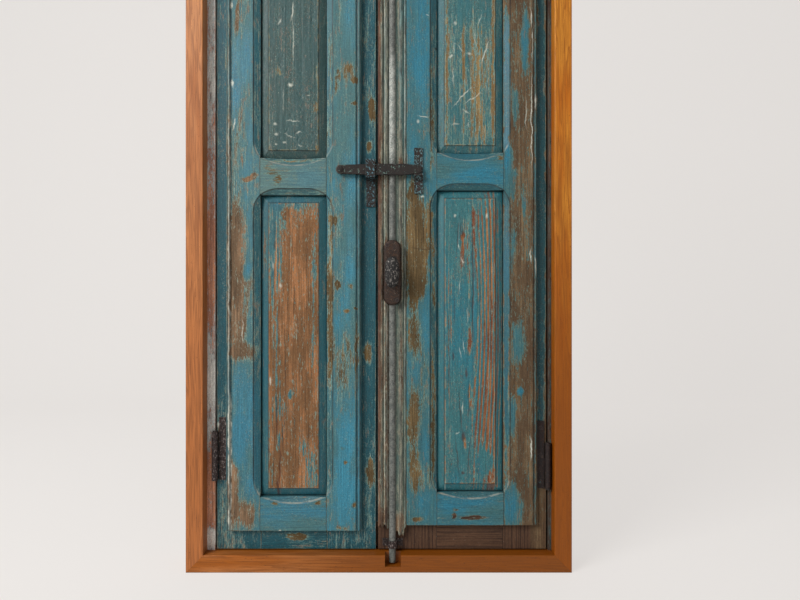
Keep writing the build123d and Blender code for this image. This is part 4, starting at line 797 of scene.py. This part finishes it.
# %% [markdown]
# ## Iron
# All the ironwork is wrought or cast iron that rusted, was painted over and rusted again. Rust is
# never one brown: it is near black where it is hard and orange where it is loose. Two noises of
# different size choose between three browns, the coarse one also pits the surface, and a last
# threshold leaves crumbs of old paint in the hollows.


# %% Iron finish
BRIGHT_IRON = tone(122, 116, 108)
IRON_CREVICE_SHADE = tone(16, 13, 12)


def old_iron(name, tones, crumbs=0.0, crumb_tone=GROUND, pit=0.5, shift=0.0, metal=0.35,
             sizes=(9, 2.4), dim=1.0):
    """Three rust tones chosen by a coarse and a fine noise; crumbs is how much paint is left on it.

    dim darkens it everywhere but in the bright stretch above the latch.
    """
    f = Finish(name)
    coarse = f.streaks(sizes[0], sizes[0], "z", shift, detail=5.0, rough=0.65)
    fine = f.streaks(sizes[1], sizes[1], "z", shift + 13, detail=4.0, rough=0.7)
    colour = f.cover(tones[0], tones[1], coarse, 0.38, 0.62)
    colour = f.cover(colour, tones[2], fine, 0.52, 0.66)
    colour = f.cover(colour, BRIGHT_IRON, f.crevice(1.6, inside=True), 0.2, 0.8, 0.4)
    if crumbs:
        left = f.streaks(3.2, 5.0, "z", shift + 29, detail=5.0, rough=0.7)
        colour = f.cover(colour, crumb_tone, left, 0.62 - 0.14 * crumbs, 0.66 - 0.14 * crumbs, 0.9)
    # Painted shade: near black where the iron is closed in by the parts round it.
    colour = f.cover(colour, IRON_CREVICE_SHADE, f.crevice(7), 0.35, 0.95, 0.6)
    if dim != 1.0:
        colour = f.shade(colour, f.step(f.line(f.axis("Z"), 905, 60, 80), 0.0, 1.0, dim, 1.0))
    height = f.add(f.times(coarse, 0.6), f.times(fine, 0.5))
    return f.finish(colour, f.step(fine, 0.3, 0.7, 0.5, 0.85), height, pit, metal)


RUST_DARK = (tone(20, 18, 18), tone(32, 27, 24), tone(56, 42, 34))
RUST_RED = (tone(26, 20, 21), tone(44, 31, 29), tone(74, 50, 40))
CASE_TONES = (tone(32, 22, 17), tone(52, 36, 27), tone(88, 58, 38))
KNOB_TONES = (tone(12, 11, 11), tone(24, 22, 22), tone(62, 58, 56))
ROD_TONES = (tone(172, 174, 166), tone(128, 134, 128), tone(92, 84, 72))
GEAR_TONES = (tone(60, 56, 52), tone(92, 86, 80), tone(70, 50, 38))
bar_iron = old_iron("bar_iron", RUST_DARK, 0.1, pit=0.35, shift=5.0)
case_iron = old_iron("case_iron", CASE_TONES, 0.15, tone(112, 100, 88), 0.9, 15.0, sizes=(7, 1.8))
knob_iron = old_iron("knob_iron", KNOB_TONES, 0.5, tone(122, 116, 110), 0.9, 85.0, sizes=(6, 2.6))
hinge_iron = old_iron("hinge_iron", RUST_RED, 0.5, tone(128, 116, 112), 0.8, 25.0)
dark_hinge_iron = old_iron("dark_hinge_iron", RUST_RED, 0.2, tone(104, 84, 70), 0.8, 95.0, dim=0.68)
rod_iron = old_iron("rod_iron", ROD_TONES, 0.5, tone(188, 186, 178), 0.5, 35.0, metal=0.1, dim=0.40)
staple_iron = old_iron("staple_iron", RUST_DARK, 0.5, tone(88, 128, 138), 0.4, 45.0)
catch_iron = old_iron("catch_iron", RUST_DARK, 0.65, tone(96, 130, 134), 0.5, 55.0)
screw_iron = old_iron("screw_iron", RUST_RED, 0.2, BLUE_DULL, 0.3, 65.0)
gear_iron = old_iron("gear_iron", GEAR_TONES, pit=0.2, shift=75.0, metal=0.8)

HINGES = [f"{side}_{level}" for side in ("left", "right") for level in ("lower", "upper")]
for hinge in HINGES:
    iron = dark_hinge_iron if "right" in hinge else hinge_iron
    give(iron, f"leaf_hinge_{hinge}", f"jamb_hinge_{hinge}", f"hinge_pin_{hinge}")
give(screw_iron, "jamb_hinge_screws", "left_leaf_screws", "right_leaf_screws")
give(bar_iron, "latch_bar", "latch_rivet")
give(staple_iron, "latch_staple")
give(catch_iron, "latch_catch")
give(case_iron, "bolt_case", "bolt_base_plate")
give(knob_iron, "knob_pin")
give(gear_iron, "bolt_pinion")
give(rod_iron, "upper_rod", "lower_rod")
give(hinge_iron, "rod_guide_lower", "rod_guide_middle", "rod_guide_upper")
print("iron finishes:", sum(material.name.endswith("_iron") for material in bpy.data.materials))

# %% [markdown]
# ## Smooth noise for new surfaces
# New surfaces need relief as well as colour. Value noise is enough: random heights stand at the
# corners of a lattice, and a smooth step joins them. Several sizes added together look natural.


# %% Noise for surfaces
LATTICE = 251


def value_noise(u, v, seed):
    """Random heights of -0.5 to 0.5 at whole u and v, joined by smooth steps between them."""
    heights = np.random.default_rng(seed).random((LATTICE, LATTICE)) - 0.5
    column, row = np.floor(u).astype(int), np.floor(v).astype(int)
    x, y = u - column, v - row
    x, y = x * x * (3 - 2 * x), y * y * (3 - 2 * y)
    i, j = column % LATTICE, row % LATTICE
    i2, j2 = (column + 1) % LATTICE, (row + 1) % LATTICE
    near = heights[i, j] * (1 - x) + heights[i2, j] * x
    far = heights[i, j2] * (1 - x) + heights[i2, j2] * x
    return near * (1 - y) + far * y


def worn_noise(u, v, seed, octaves=3):
    """Value noise in several sizes, each half as large and half as strong as the one before."""
    total = 0.0
    for level in range(octaves):
        total = total + value_noise(u * 2**level, v * 2**level, seed + level) / 2**level
    return total


print("noise sample:", round(float(worn_noise(np.array([0.3]), np.array([0.7]), 1)[0]), 4))

# %% [markdown]
# ## Raised panels
# Each leaf holds two raised and fielded panels. The CAD panel is right in size but perfectly sharp,
# and an old panel isn't: its arrises are rounded and nicked, the soft grain has weathered into long
# hollows, and cracks have opened. The panel is made as a height map: a grid over its face, with the
# depth of each point worked out from its distance to the edge, plus the relief of the grain. A second
# sheet makes the back, and a strip of squares joins the two all round.

# %% Panel surface
FIELD_DEPTH = 19.5
STEP_DEPTH = 20.5
TONGUE_FRONT = 27.1
TONGUE_BACK = 35.1
BACK_DEPTH = 41.0
TONGUE = 7.5
PANEL_PLAY = 0.5
FIELD_IN = TONGUE + BEVEL
ARRIS_HALF = 1.5
EDGE_STEPS = (2, 9, 6)
FIELD_STEPS = (88, 330)
RING_GAP = 7.0
FIBRE_DEEP = 0.28
HOLLOW_DEEP = 0.5
DENT_DEEP = 2.5
STRIPE_DEEP = 0.5
LAYER_SEEDS = {"bare": 41, "lined": 43, "dark": 47, "pale": 53}


def spread(stops, steps):
    """Grid lines: between each two stops, as many steps as the list says, each line once."""
    lines = [np.linspace(a, b, n, endpoint=False) for a, b, n in zip(stops, stops[1:], steps)]
    return np.concatenate(lines + [[stops[-1]]])


def closed_sheet(front, back):
    """Two grids of the same shape as one closed skin: front, back turned round, and the rim between."""
    rows, columns = front.shape[:2]
    count = rows * columns
    quads = [grid_quads(rows, columns), grid_quads(rows, columns, count)[:, ::-1]]
    corner = np.arange(count).reshape(rows, columns)
    ring = np.concatenate([corner[0, :-1], corner[:-1, -1], corner[-1, :0:-1], corner[:0:-1, 0]])
    after = np.roll(ring, -1)
    quads.append(np.stack([after, ring, ring + count, after + count], axis=-1))
    return np.concatenate([front.reshape(-1, 3), back.reshape(-1, 3)]), np.concatenate(quads)


def smooth_step(value):
    """0 below 0, 1 above 1, and a smooth rise between."""
    value = np.clip(value, 0, 1)
    return value * value * (3 - 2 * value)


def skin(x, depth, back, z, layers):
    """A closed skin from front and back depths behind the room face; only its front has the layers."""
    front = np.stack([x, FACE_Y + depth, z], axis=-1)
    points, quads = closed_sheet(front, np.stack([x, FACE_Y + back, z], axis=-1))
    carried = {name: np.concatenate([v.ravel(), 0 * v.ravel()]) for name, v in layers.items()}
    return points * MM, quads, carried


def drawn_layer(x, z, marks, seed, drift=3.2):
    """The sum of soft ellipses over a grid, with edges that noise pushes about, drift mm sideways."""
    x_moved = x + drift * worn_noise(x / 9, z / 16, seed)
    z_moved = z + 5.0 * worn_noise(x / 9, z / 16, seed + 5)
    full, none = SPOT_EDGE
    total = np.zeros_like(x)
    for mark in marks:
        cx, cz, wide, tall, amount = mark[:5]
        lean = radians(mark[5]) if len(mark) > 5 else 0.0
        dx, dz = x_moved - cx, z_moved - cz
        across = dx * np.cos(lean) - dz * np.sin(lean)
        along = dx * np.sin(lean) + dz * np.cos(lean)
        total += amount * smooth_step((none - np.hypot(across / wide, along / tall)) / (none - full))
    return total


def growth_rings(x, z, seed):
    """Ring lines of a sawn board, RING_GAP apart and bent by a slow noise: 0 at a line, 1 between."""
    moved = x + 30 * value_noise(x / 40, z / 520, seed)
    moved = moved + 3 * value_noise(x / 12, z / 130, seed + 1)
    return np.abs(moved / RING_GAP * 2 % 2 - 1)


def panel_lines(start, end, steps):
    """Grid lines from edge to edge of a panel, closest together along its arrises."""
    inset = [0, TONGUE, FIELD_IN - ARRIS_HALF, FIELD_IN + ARRIS_HALF]
    stops = [start + i for i in inset] + [end - i for i in reversed(inset)]
    return spread(stops, [*EDGE_STEPS, steps, *reversed(EDGE_STEPS)])


def panel_surface(low, high, seed, grooves, drawn):
    """Depth is the field's, then a step, then a bevel that falls evenly to the tongue.

    The distance to the edge, less a little noise, places the arris, so the arris wanders and dulls.
    Fibre noise, long along Z, is added to the depth, and grooves are drawn cracks: x, z, half width,
    half height and depth in millimetres.
    """
    left, right = (low.x / MM + TONGUE), (high.x / MM - TONGUE)
    foot, head = (low.z / MM + TONGUE), (high.z / MM - TONGUE)
    x = panel_lines(left - TONGUE, right + TONGUE, FIELD_STEPS[0])
    z = panel_lines(foot - TONGUE, head + TONGUE, FIELD_STEPS[1])
    x, z = np.meshgrid(x, z)
    edge = np.minimum(np.minimum(x - left, right - x), np.minimum(z - foot, head - z))
    reach = edge + 1.1 * worn_noise(x / 5.0, z / 13.0, seed, 3)
    bevel = TONGUE_FRONT + (STEP_DEPTH - TONGUE_FRONT) * np.clip(edge / BEVEL, 0, 1)
    depth = bevel + (FIELD_DEPTH - STEP_DEPTH) * smooth_step((reach - BEVEL) / 1.4)
    on_face = np.clip(edge / 3.0, 0, 1)
    fibre = worn_noise(x / 2.6, z / 90.0, seed + 7, 3)
    hollow = worn_noise(x / 11.0, z / 160.0, seed + 11, 2)
    dents = np.clip(worn_noise(x / 7.0, z / 9.0, seed + 17, 2) - 0.36, 0, 1)
    rings = growth_rings(x, z, seed + 31)
    bare, lined, dark, pale = (
        drawn_layer(x, z, drawn[name], seed + number) for name, number in LAYER_SEEDS.items()
    )
    relief = FIBRE_DEEP * fibre + HOLLOW_DEEP * hollow + DENT_DEEP * dents
    depth = depth + on_face * (relief + STRIPE_DEEP * lined * (1 - rings))
    for cx, cz, wide, tall, deep in grooves:
        bend = 2.0 * worn_noise(z / 60.0, z * 0 + cx, seed + 23, 2)
        away = ((x - cx - bend) / wide) ** 2 + ((z - cz) / tall) ** 2
        depth = depth + deep * np.exp(-1.6 * away)
    back = TONGUE_BACK + (BACK_DEPTH - TONGUE_BACK) * (edge > PANEL_PLAY)
    worn = bare + lined * (0.75 - rings)
    layers = {"bare": worn, "dark": np.clip(dark, 0, 1), "pale": np.clip(pale, 0, 1)}
    return skin(x, depth, back, z, layers)


print("panel field starts", FIELD_IN, "mm inside the edge")

# %% [markdown]
# ## What each panel has lost
# The lower left panel is almost bare, the lower right one lost its paint in stripes that follow the
# growth rings, and the two upper ones are sounder. Each table names the spots where more or less
# paint is left, and where cracks run. The field's box tells the paint where the arris lies.

# %% Panel paint
PANELS = {
    "left_lower_panel": dict(
        seed=3, wear=0.66, wood=ORANGE_WOOD, shift=910.0,
        bare=[
            (-200, 690, 16, 70, -0.20), (-214, 600, 5, 140, -0.16), (-196, 600, 10, 60, -0.16),
            (-168, 560, 26, 190, 0.10), (-200, 380, 9, 50, -0.20), (-177, 346, 8, 11, -0.34),
            (-200, 320, 14, 26, -0.20), (-200, 250, 5, 26, -0.30), (-129, 590, 5, 80, -0.22),
            (-131, 470, 6, 60, -0.18), (-134, 180, 14, 70, -0.20), (-150, 240, 10, 30, -0.14),
            (-170, 722, 60, 14, -0.20), (-212, 200, 6, 60, -0.14), (-228, 640, 5, 40, 0.30),
            (-212, 650, 12, 100, -0.12), (-208, 440, 10, 90, -0.10),
            (-160, 700, 20, 20, -0.12), (-204, 480, 6, 120, -0.16),
        ],
        lined=[(-205, 400, 16, 340, 0.30), (-140, 300, 22, 260, 0.16)],
        dark=[
            (-203, 300, 1.6, 55, 0.8), (-190, 275, 1.3, 48, 0.75), (-196, 200, 1.8, 60, 0.8),
            (-201, 160, 3.0, 26, 0.9), (-207, 560, 1.0, 60, 0.5), (-198, 520, 0.9, 90, 0.5),
            (-206, 640, 2.5, 8, 0.7), (-186, 380, 0.8, 70, 0.4), (-142, 640, 0.8, 60, 0.4),
        ],
        pale=[(-196, 560, 3, 5, 0.7), (-215, 372, 2, 9, 0.8), (-210, 600, 1.5, 12, 0.5)],
        grooves=[(-203, 300, 1.6, 60, 1.0), (-190, 275, 1.4, 50, 0.9), (-197, 180, 2.2, 60, 1.3)],
    ),
    "left_upper_panel": dict(
        seed=13, wear=0.28, shift=980.0, speck=0.85,
        paint=(tone(46, 84, 86), tone(54, 82, 78), tone(38, 66, 66)),
        ground=tone(112, 132, 124), wood=(tone(140, 124, 84), tone(108, 88, 60)),
        bare=[
            (-199, 985, 9, 15, 0.26), (-124, 915, 6, 14, 0.34), (-124, 832, 5, 16, 0.3),
            (-126, 990, 5, 30, 0.2),
        ],
        pale=[
            (-172, 1108, 1.3, 18, 0.9, 5), (-171, 1050, 0.8, 50, 0.6), (-176, 958, 5, 4, 0.8),
            (-170, 888, 13, 1.5, 0.6), (-205, 880, 4, 3, 0.6), (-204, 862, 4, 2.4, 0.6),
            (-178, 858, 12, 1.0, 0.6, 18), (-188, 846, 4, 2, 0.6), (-160, 864, 5, 2, 0.6),
            (-156, 838, 6, 1.2, 0.5, 30), (-205, 842, 3, 2.0, 0.6), (-198, 1085, 2.0, 8, 0.5, 30),
            (-190, 930, 0.7, 30, 0.4), (-140, 940, 3, 1, 0.5),
        ],
    ),
    "right_lower_panel": dict(
        seed=23, wear=0.26, shift=1050.0, wood=(tone(166, 112, 66), tone(112, 64, 42)), speck=0.85,
        paint=(tone(40, 126, 146), tone(70, 120, 118), tone(26, 92, 102)),
        bare=[
            (222, 560, 12, 220, 0.20), (216, 300, 18, 130, 0.20), (206, 212, 16, 34, -0.3),
            (224, 172, 12, 26, 0.35), (186, 690, 40, 30, 0.14), (170, 620, 16, 60, 0.14),
            (180, 452, 4.5, 28, 0.40), (180, 340, 4.5, 40, 0.40), (166, 632, 3, 30, 0.3),
            (167, 660, 6, 9, 0.42), (170, 250, 4.5, 14, 0.42), (150, 400, 20, 60, -0.1),
        ],
        lined=[(220, 440, 26, 420, 0.95), (138, 480, 9, 260, 0.42), (192, 300, 12, 200, 0.50),
               (186, 620, 14, 130, 0.50), (212, 210, 20, 30, -0.7)],
        dark=[
            (186, 560, 1.5, 150, 0.8), (156, 660, 1.5, 34, 0.8, 3), (162, 670, 1.2, 30, 0.7),
            (167, 664, 4.0, 8, 0.85), (168, 606, 1.1, 20, 0.7), (139, 430, 1.1, 120, 0.6),
            (162, 300, 1.3, 50, 0.8, -4), (177, 330, 1.2, 40, 0.7), (173, 388, 2.8, 12, 0.8),
            (147, 420, 2.4, 9, 0.8), (156, 222, 1.2, 46, 0.7, -6), (178, 222, 1.2, 46, 0.7, 6),
            (167, 262, 4.0, 9, 0.8), (166, 190, 3.0, 3.0, 0.9), (149, 510, 1.2, 30, 0.6),
            (200, 420, 0.9, 180, 0.5), (212, 380, 0.9, 200, 0.5), (221, 520, 0.9, 150, 0.5),
        ],
        pale=[
            (158, 640, 0.9, 9, 0.9, -12), (165, 612, 0.9, 8, 0.9, -25), (167, 440, 0.8, 14, 0.8, -4),
            (160, 428, 0.8, 10, 0.7, -14), (165, 318, 0.9, 12, 0.7), (156, 268, 5, 1.0, 0.8, -25),
            (180, 143, 48, 1.6, 0.7), (150, 700, 3, 3, 0.6), (214, 700, 3, 4, 0.6),
            (160, 560, 0.8, 12, 0.6), (175, 500, 0.8, 16, 0.5), (132, 160, 1.2, 20, 0.7),
        ],
        grooves=[
            (186, 560, 1.3, 150, 0.9), (156, 660, 1.3, 34, 0.8), (180, 352, 2.6, 34, 0.8),
            (162, 300, 1.2, 50, 0.8),
        ],
    ),
    "right_upper_panel": dict(
        seed=33, wear=0.32, shift=1120.0, speck=0.9,
        paint=(tone(52, 120, 130), tone(76, 114, 106), tone(26, 84, 94)),
        wood=(tone(152, 124, 78), tone(116, 92, 58)), ground=tone(130, 152, 140),
        bare=[
            (166, 1000, 5, 90, 0.26), (194, 960, 9, 120, 0.22), (135, 1000, 3.0, 260, 0.26),
            (226, 1000, 4, 260, 0.28), (205, 870, 8, 50, 0.14), (150, 850, 10, 30, 0.10),
            (182, 1110, 30, 40, -0.12), (180, 860, 20, 20, 0.06), (205, 960, 16, 120, 0.10),
        ],
        lined=[(185, 980, 44, 260, 0.26)],
        pale=[
            (164, 935, 1.1, 27, 0.9, 44), (187, 932, 1.1, 20, 0.8, 58), (210, 1020, 1.1, 26, 0.8, 18),
            (142, 1015, 5, 2.2, 0.8, -10), (148, 1030, 1.2, 12, 0.6), (178, 1022, 5, 2.4, 0.7),
            (150, 1080, 3.6, 4, 0.6), (147, 975, 0.9, 20, 0.6), (172, 905, 1.0, 9, 0.7, -60),
            (150, 880, 10, 1.2, 0.7, 10), (176, 880, 1.6, 6, 0.7), (162, 1030, 0.9, 9, 0.6, -35),
            (200, 1090, 1.0, 14, 0.5, 20), (190, 1050, 0.8, 18, 0.5, -12), (215, 960, 0.8, 20, 0.5),
        ],
    ),
}

for node, panel in PANELS.items():
    low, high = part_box(node)
    drawn = {name: panel.pop(name, ()) for name in LAYER_SEEDS}
    points, quads, carried = panel_surface(low, high, panel.pop("seed"), panel.pop("grooves", ()), drawn)
    piece = new_mesh(node.replace("_panel", "_raised_panel"), points, quads, 32, carried)
    edges = (low.x / MM + FIELD_IN, high.x / MM - FIELD_IN, low.z / MM + FIELD_IN, high.z / MM - FIELD_IN)
    piece.data.materials.append(old_paint(node + "_paint", "z", field=edges, drawn=True, **panel))
    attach(piece, "leaf_left" if node.startswith("left") else "leaf_right")
    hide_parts(node)
    print(piece.name, len(quads), "squares")

# %% [markdown]
# ## The reeded strip
# The strip on the meeting edge was run with a moulding plane: a nosing, two reeds, a channel for the
# rod, a reed and a bead. Every hand that opened the window rubbed along it, and its foot has broken
# off. A height map fits again: the moulding gives the depth across the strip, and the lower edge of
# the grid follows the break, with splinters that a fine noise draws out. A pocket is sunk for the bolt.

# %% Reeded strip surface
REEDS = [(0, 4.5, 16.0), (4.5, 10.0, 14.0), (11.5, 21.5, 14.0), (39.9, 50.4, 14.0), (50.9, 55.85, 14.0)]
REED_FLOOR = 18.0
BREAK = [
    (0, 47), (4, 53), (8, 46), (13, 52), (19, 43), (21.5, 47), (26, 37), (32, 33), (38, 39),
    (42, 29), (47, 33), (50, 27), (52, 43), (56, 51),
]
BOLT_AT = (26.3, 586.0)
STRIP_FOOT = 37.0
STRIP_BACK = 26.0
STRIP_ROWS = 620
POCKET_HALF = 47.35
POCKET_RADIUS = 17.0
POCKET_DEPTH = 21.7
STRIP_STOPS = (0, 4.5, 10, 11.5, 21.5, 39.9, 50.4, 50.9, 55.85)
STRIP_STEPS = (8, 9, 2, 14, 12, 14, 1, 8)
REED_BARE = [
    (0.5, 700, 4, 900, 0.30), (5, 500, 4, 400, 0.10), (15, 420, 6, 300, 0.10), (15, 200, 6, 90, 0.10),
    (44, 460, 5, 400, 0.12), (48, 1020, 8, 190, -0.7), (51, 700, 3, 900, -0.35),
    (14, 1000, 6, 160, -0.05), (28, 800, 9, 700, -0.25), (28, 300, 9, 200, 0.10),
    (44, 800, 5, 12, 0.3), (15, 640, 5, 20, 0.2), (40, 90, 16, 30, 0.25), (10, 100, 14, 26, 0.15),
    (5, 900, 3, 60, 0.2),
]
REED_PALE = [
    (12, 1080, 2, 40, 0.5), (13, 930, 1.6, 50, 0.6), (12, 780, 1.6, 30, 0.6), (15, 470, 1.4, 60, 0.6),
    (11, 300, 1.2, 80, 0.5), (51, 900, 1.4, 190, 0.7), (51, 500, 1.2, 150, 0.55),
    (16, 180, 1.6, 40, 0.5), (43, 160, 1.6, 50, 0.5), (46, 620, 1.2, 20, 0.6),
    (5, 1020, 0.8, 60, 0.4), (42, 350, 1.0, 60, 0.4),
]
# Dark lines the strip's whole length: the first is the nosing's bare red-brown wood, the other three are
# painted shade along the reeds' grooves and shaded flanks.
REED_DARK = [
    (-0.6, 760, 2.4, 900, 1.0), (19, 700, 0.8, 700, 0.6), (39, 700, 0.9, 700, 0.7),
    (9.2, 700, 0.8, 700, 0.7),
]


def reeded_strip(low, high):
    """Each reed is part of a circle; the crest loses a little where a slow noise says it was rubbed.

    The grid's lower edge follows the break, and a slot with round ends is sunk for the bolt.
    """
    left, head = low.x / MM, high.z / MM
    across, along = np.meshgrid(spread(STRIP_STOPS, STRIP_STEPS), np.linspace(0, 1, STRIP_ROWS))
    x = across + left
    start = np.interp(across, *zip(*BREAK)) + 3.0 * worn_noise(across / 1.7, across * 0, 61, 2)
    z = STRIP_FOOT + start + (head - STRIP_FOOT - start) * along
    depth = np.full_like(across, REED_FLOOR)
    for near, far, crest in REEDS:
        radius, centre = (far - near) / 2, (near + far) / 2
        arc = radius**2 - np.clip(across - centre, -radius, radius) ** 2
        wear = 0.35 + 0.9 * value_noise(across * 0 + centre, z / 60, 71)
        rubbed = crest + np.clip(wear, 0, 1) * 0.6 + radius - np.sqrt(arc)
        inside = (across > near) & (across < far)
        depth = np.where(inside, np.minimum(rubbed, REED_FLOOR), depth)
    nicks = np.clip(worn_noise(across / 2.4, z / 9, 73, 3) - 0.42, 0, 1)
    fibre = worn_noise(across / 1.6, z / 60, 79, 2)
    above = np.clip((REED_FLOOR - depth) / 1.5, 0, 1)
    depth = depth + above * (2.2 * nicks + 0.18 * (fibre + 0.9))
    out_x = np.abs(x - BOLT_AT[0])
    out_z = np.clip(np.abs(z - BOLT_AT[1]) - POCKET_HALF, 0, None)
    depth = np.where(np.hypot(out_x, out_z) < POCKET_RADIUS, POCKET_DEPTH, depth)
    bare = drawn_layer(x, z, REED_BARE, 83, 1.5)
    pale = np.clip(drawn_layer(x, z, REED_PALE, 89, 0.8), 0, 1)
    dark = np.clip(drawn_layer(x, z, REED_DARK, 97, 0.6), 0, 1)
    layers = {"bare": bare, "pale": pale, "dark": dark}
    return skin(x, depth, STRIP_BACK + 0 * depth, z, layers)


low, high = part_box("astragal")
points, quads, carried = reeded_strip(low, high)
strip = new_mesh("reeded_strip", points, quads, 40, carried)
strip.data.materials.append(
    old_paint(
        "reeded_paint", "z", 0.41, shift=1190.0, edge=0.2, drawn=True,
        paint=(tone(122, 168, 166), tone(160, 166, 146), tone(40, 80, 82)), ground=tone(196, 194, 170),
        wood=(tone(170, 142, 114), tone(122, 94, 72)),
    )
)
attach(strip, "leaf_right")
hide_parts("astragal")
print("reeded strip:", len(quads), "squares")

# %% [markdown]
# ## The knob
# The oval knob was cast, and a century of hands and rust has left it lumpy. It is turned in rings from
# the front pole to the foot of its stem: each ring is a rounded oval, and a noise over the surface
# presses it in by a millimetre or so, never out.

# %% Knob surface
KNOB_WIDE, KNOB_TALL, KNOB_THICK = 14.5, 30.5, 18.0
STEM_RADIUS = 7.5
FATNESS = 0.62
FLATNESS = 0.8
SQUARENESS = 0.86
KNOB_RINGS, STEM_RINGS, SPOKES = 34, 6, 96
LUMP_DEEP = 0.45
PIT_DEEP = 1.2


def rounded(value, power):
    """A sine or cosine raised to a power, with its sign kept."""
    return np.sign(value) * np.abs(value) ** power


def oval_knob(low, high):
    """Rings of a fat ellipsoid down to the stem, then the stem's own rings and a pole at its foot.

    The half size of a ring is the sine of the turn from pole to pole, raised to FATNESS, and its
    depth is the cosine, raised to FLATNESS. Noise shrinks each ring and pushes its front back.
    """
    middle = low.y / MM + KNOB_THICK / 2
    turn = np.linspace(0, pi, KNOB_RINGS)[1:-5]
    size = np.sin(turn) ** FATNESS
    y = middle - KNOB_THICK / 2 * rounded(np.cos(turn), FLATNESS)
    stem = np.full(STEM_RINGS, STEM_RADIUS)
    wide = np.concatenate([KNOB_WIDE * size, stem])[:, None]
    tall = np.concatenate([KNOB_TALL * size, stem])[:, None]
    stem = np.linspace(middle + KNOB_THICK / 2 - 0.4, high.y / MM, STEM_RINGS)
    y = np.concatenate([y, stem])[:, None]
    angle = np.linspace(0, 2 * pi, SPOKES, endpoint=False)[None, :]
    grip = tall > STEM_RADIUS + 0.1
    full = np.where(grip, SQUARENESS, 1.0)
    x = wide * rounded(np.cos(angle), full)
    z = tall * rounded(np.sin(angle), full)
    lumps = worn_noise((x + 40) / 6.0, (z + 90) / 7.0 + y / 9.0, 101, 3) + 0.9
    pits = np.clip(worn_noise((x + 40) / 2.6, (z + 90) / 2.6, 107, 2) - 0.30, 0, 1)
    pressed = LUMP_DEEP * lumps + PIT_DEEP * pits
    shrink = 1 - np.where(grip, pressed / 26.0, 0)
    y = y + np.where(grip & (y < middle), 0.5 * pressed, 0)
    return with_poles(np.stack([BOLT_AT[0] + x * shrink, y + 0 * x, BOLT_AT[1] + z * shrink], axis=-1))


def with_poles(rings):
    """A stack of closed rings, first and last drawn together in one point each."""
    count = rings.shape[0] * rings.shape[1]
    points = np.concatenate([rings.reshape(-1, 3), [rings[0].mean(axis=0)], [rings[-1].mean(axis=0)]])
    corner = np.arange(count).reshape(rings.shape[:2])
    beside = np.roll(corner, -1, axis=1)
    quads = np.stack([corner[:-1], corner[1:], beside[1:], beside[:-1]], axis=-1).reshape(-1, 4)
    head = np.stack([corner[0], beside[0], 0 * corner[0] + count], axis=-1)
    tail = np.stack([beside[-1], corner[-1], 0 * corner[0] + count + 1], axis=-1)
    return points, quads.tolist() + head.tolist() + tail.tolist()


def new_solid(name, points, faces, smooth):
    """A piece from points in millimetres and faces of three or four corners."""
    mesh = bpy.data.meshes.new(name)
    mesh.from_pydata((points * MM).tolist(), [], faces)
    mesh.validate()
    return as_piece(name, mesh, smooth)


low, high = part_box("bolt_knob")
points, faces = oval_knob(low, high)
knob = new_solid("worn_knob", points, faces, 50)
knob.data.materials.append(knob_iron)
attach(knob, "bolt_knob")
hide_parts("bolt_knob")
print("knob:", len(faces), "faces, front at", round(low.y / MM, 1))

# %% [markdown]
# ## Last line
# The size of the dressed window is printed.

# %% Print the size
low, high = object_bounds()
print("size:", [round(v, 4) for v in high - low])
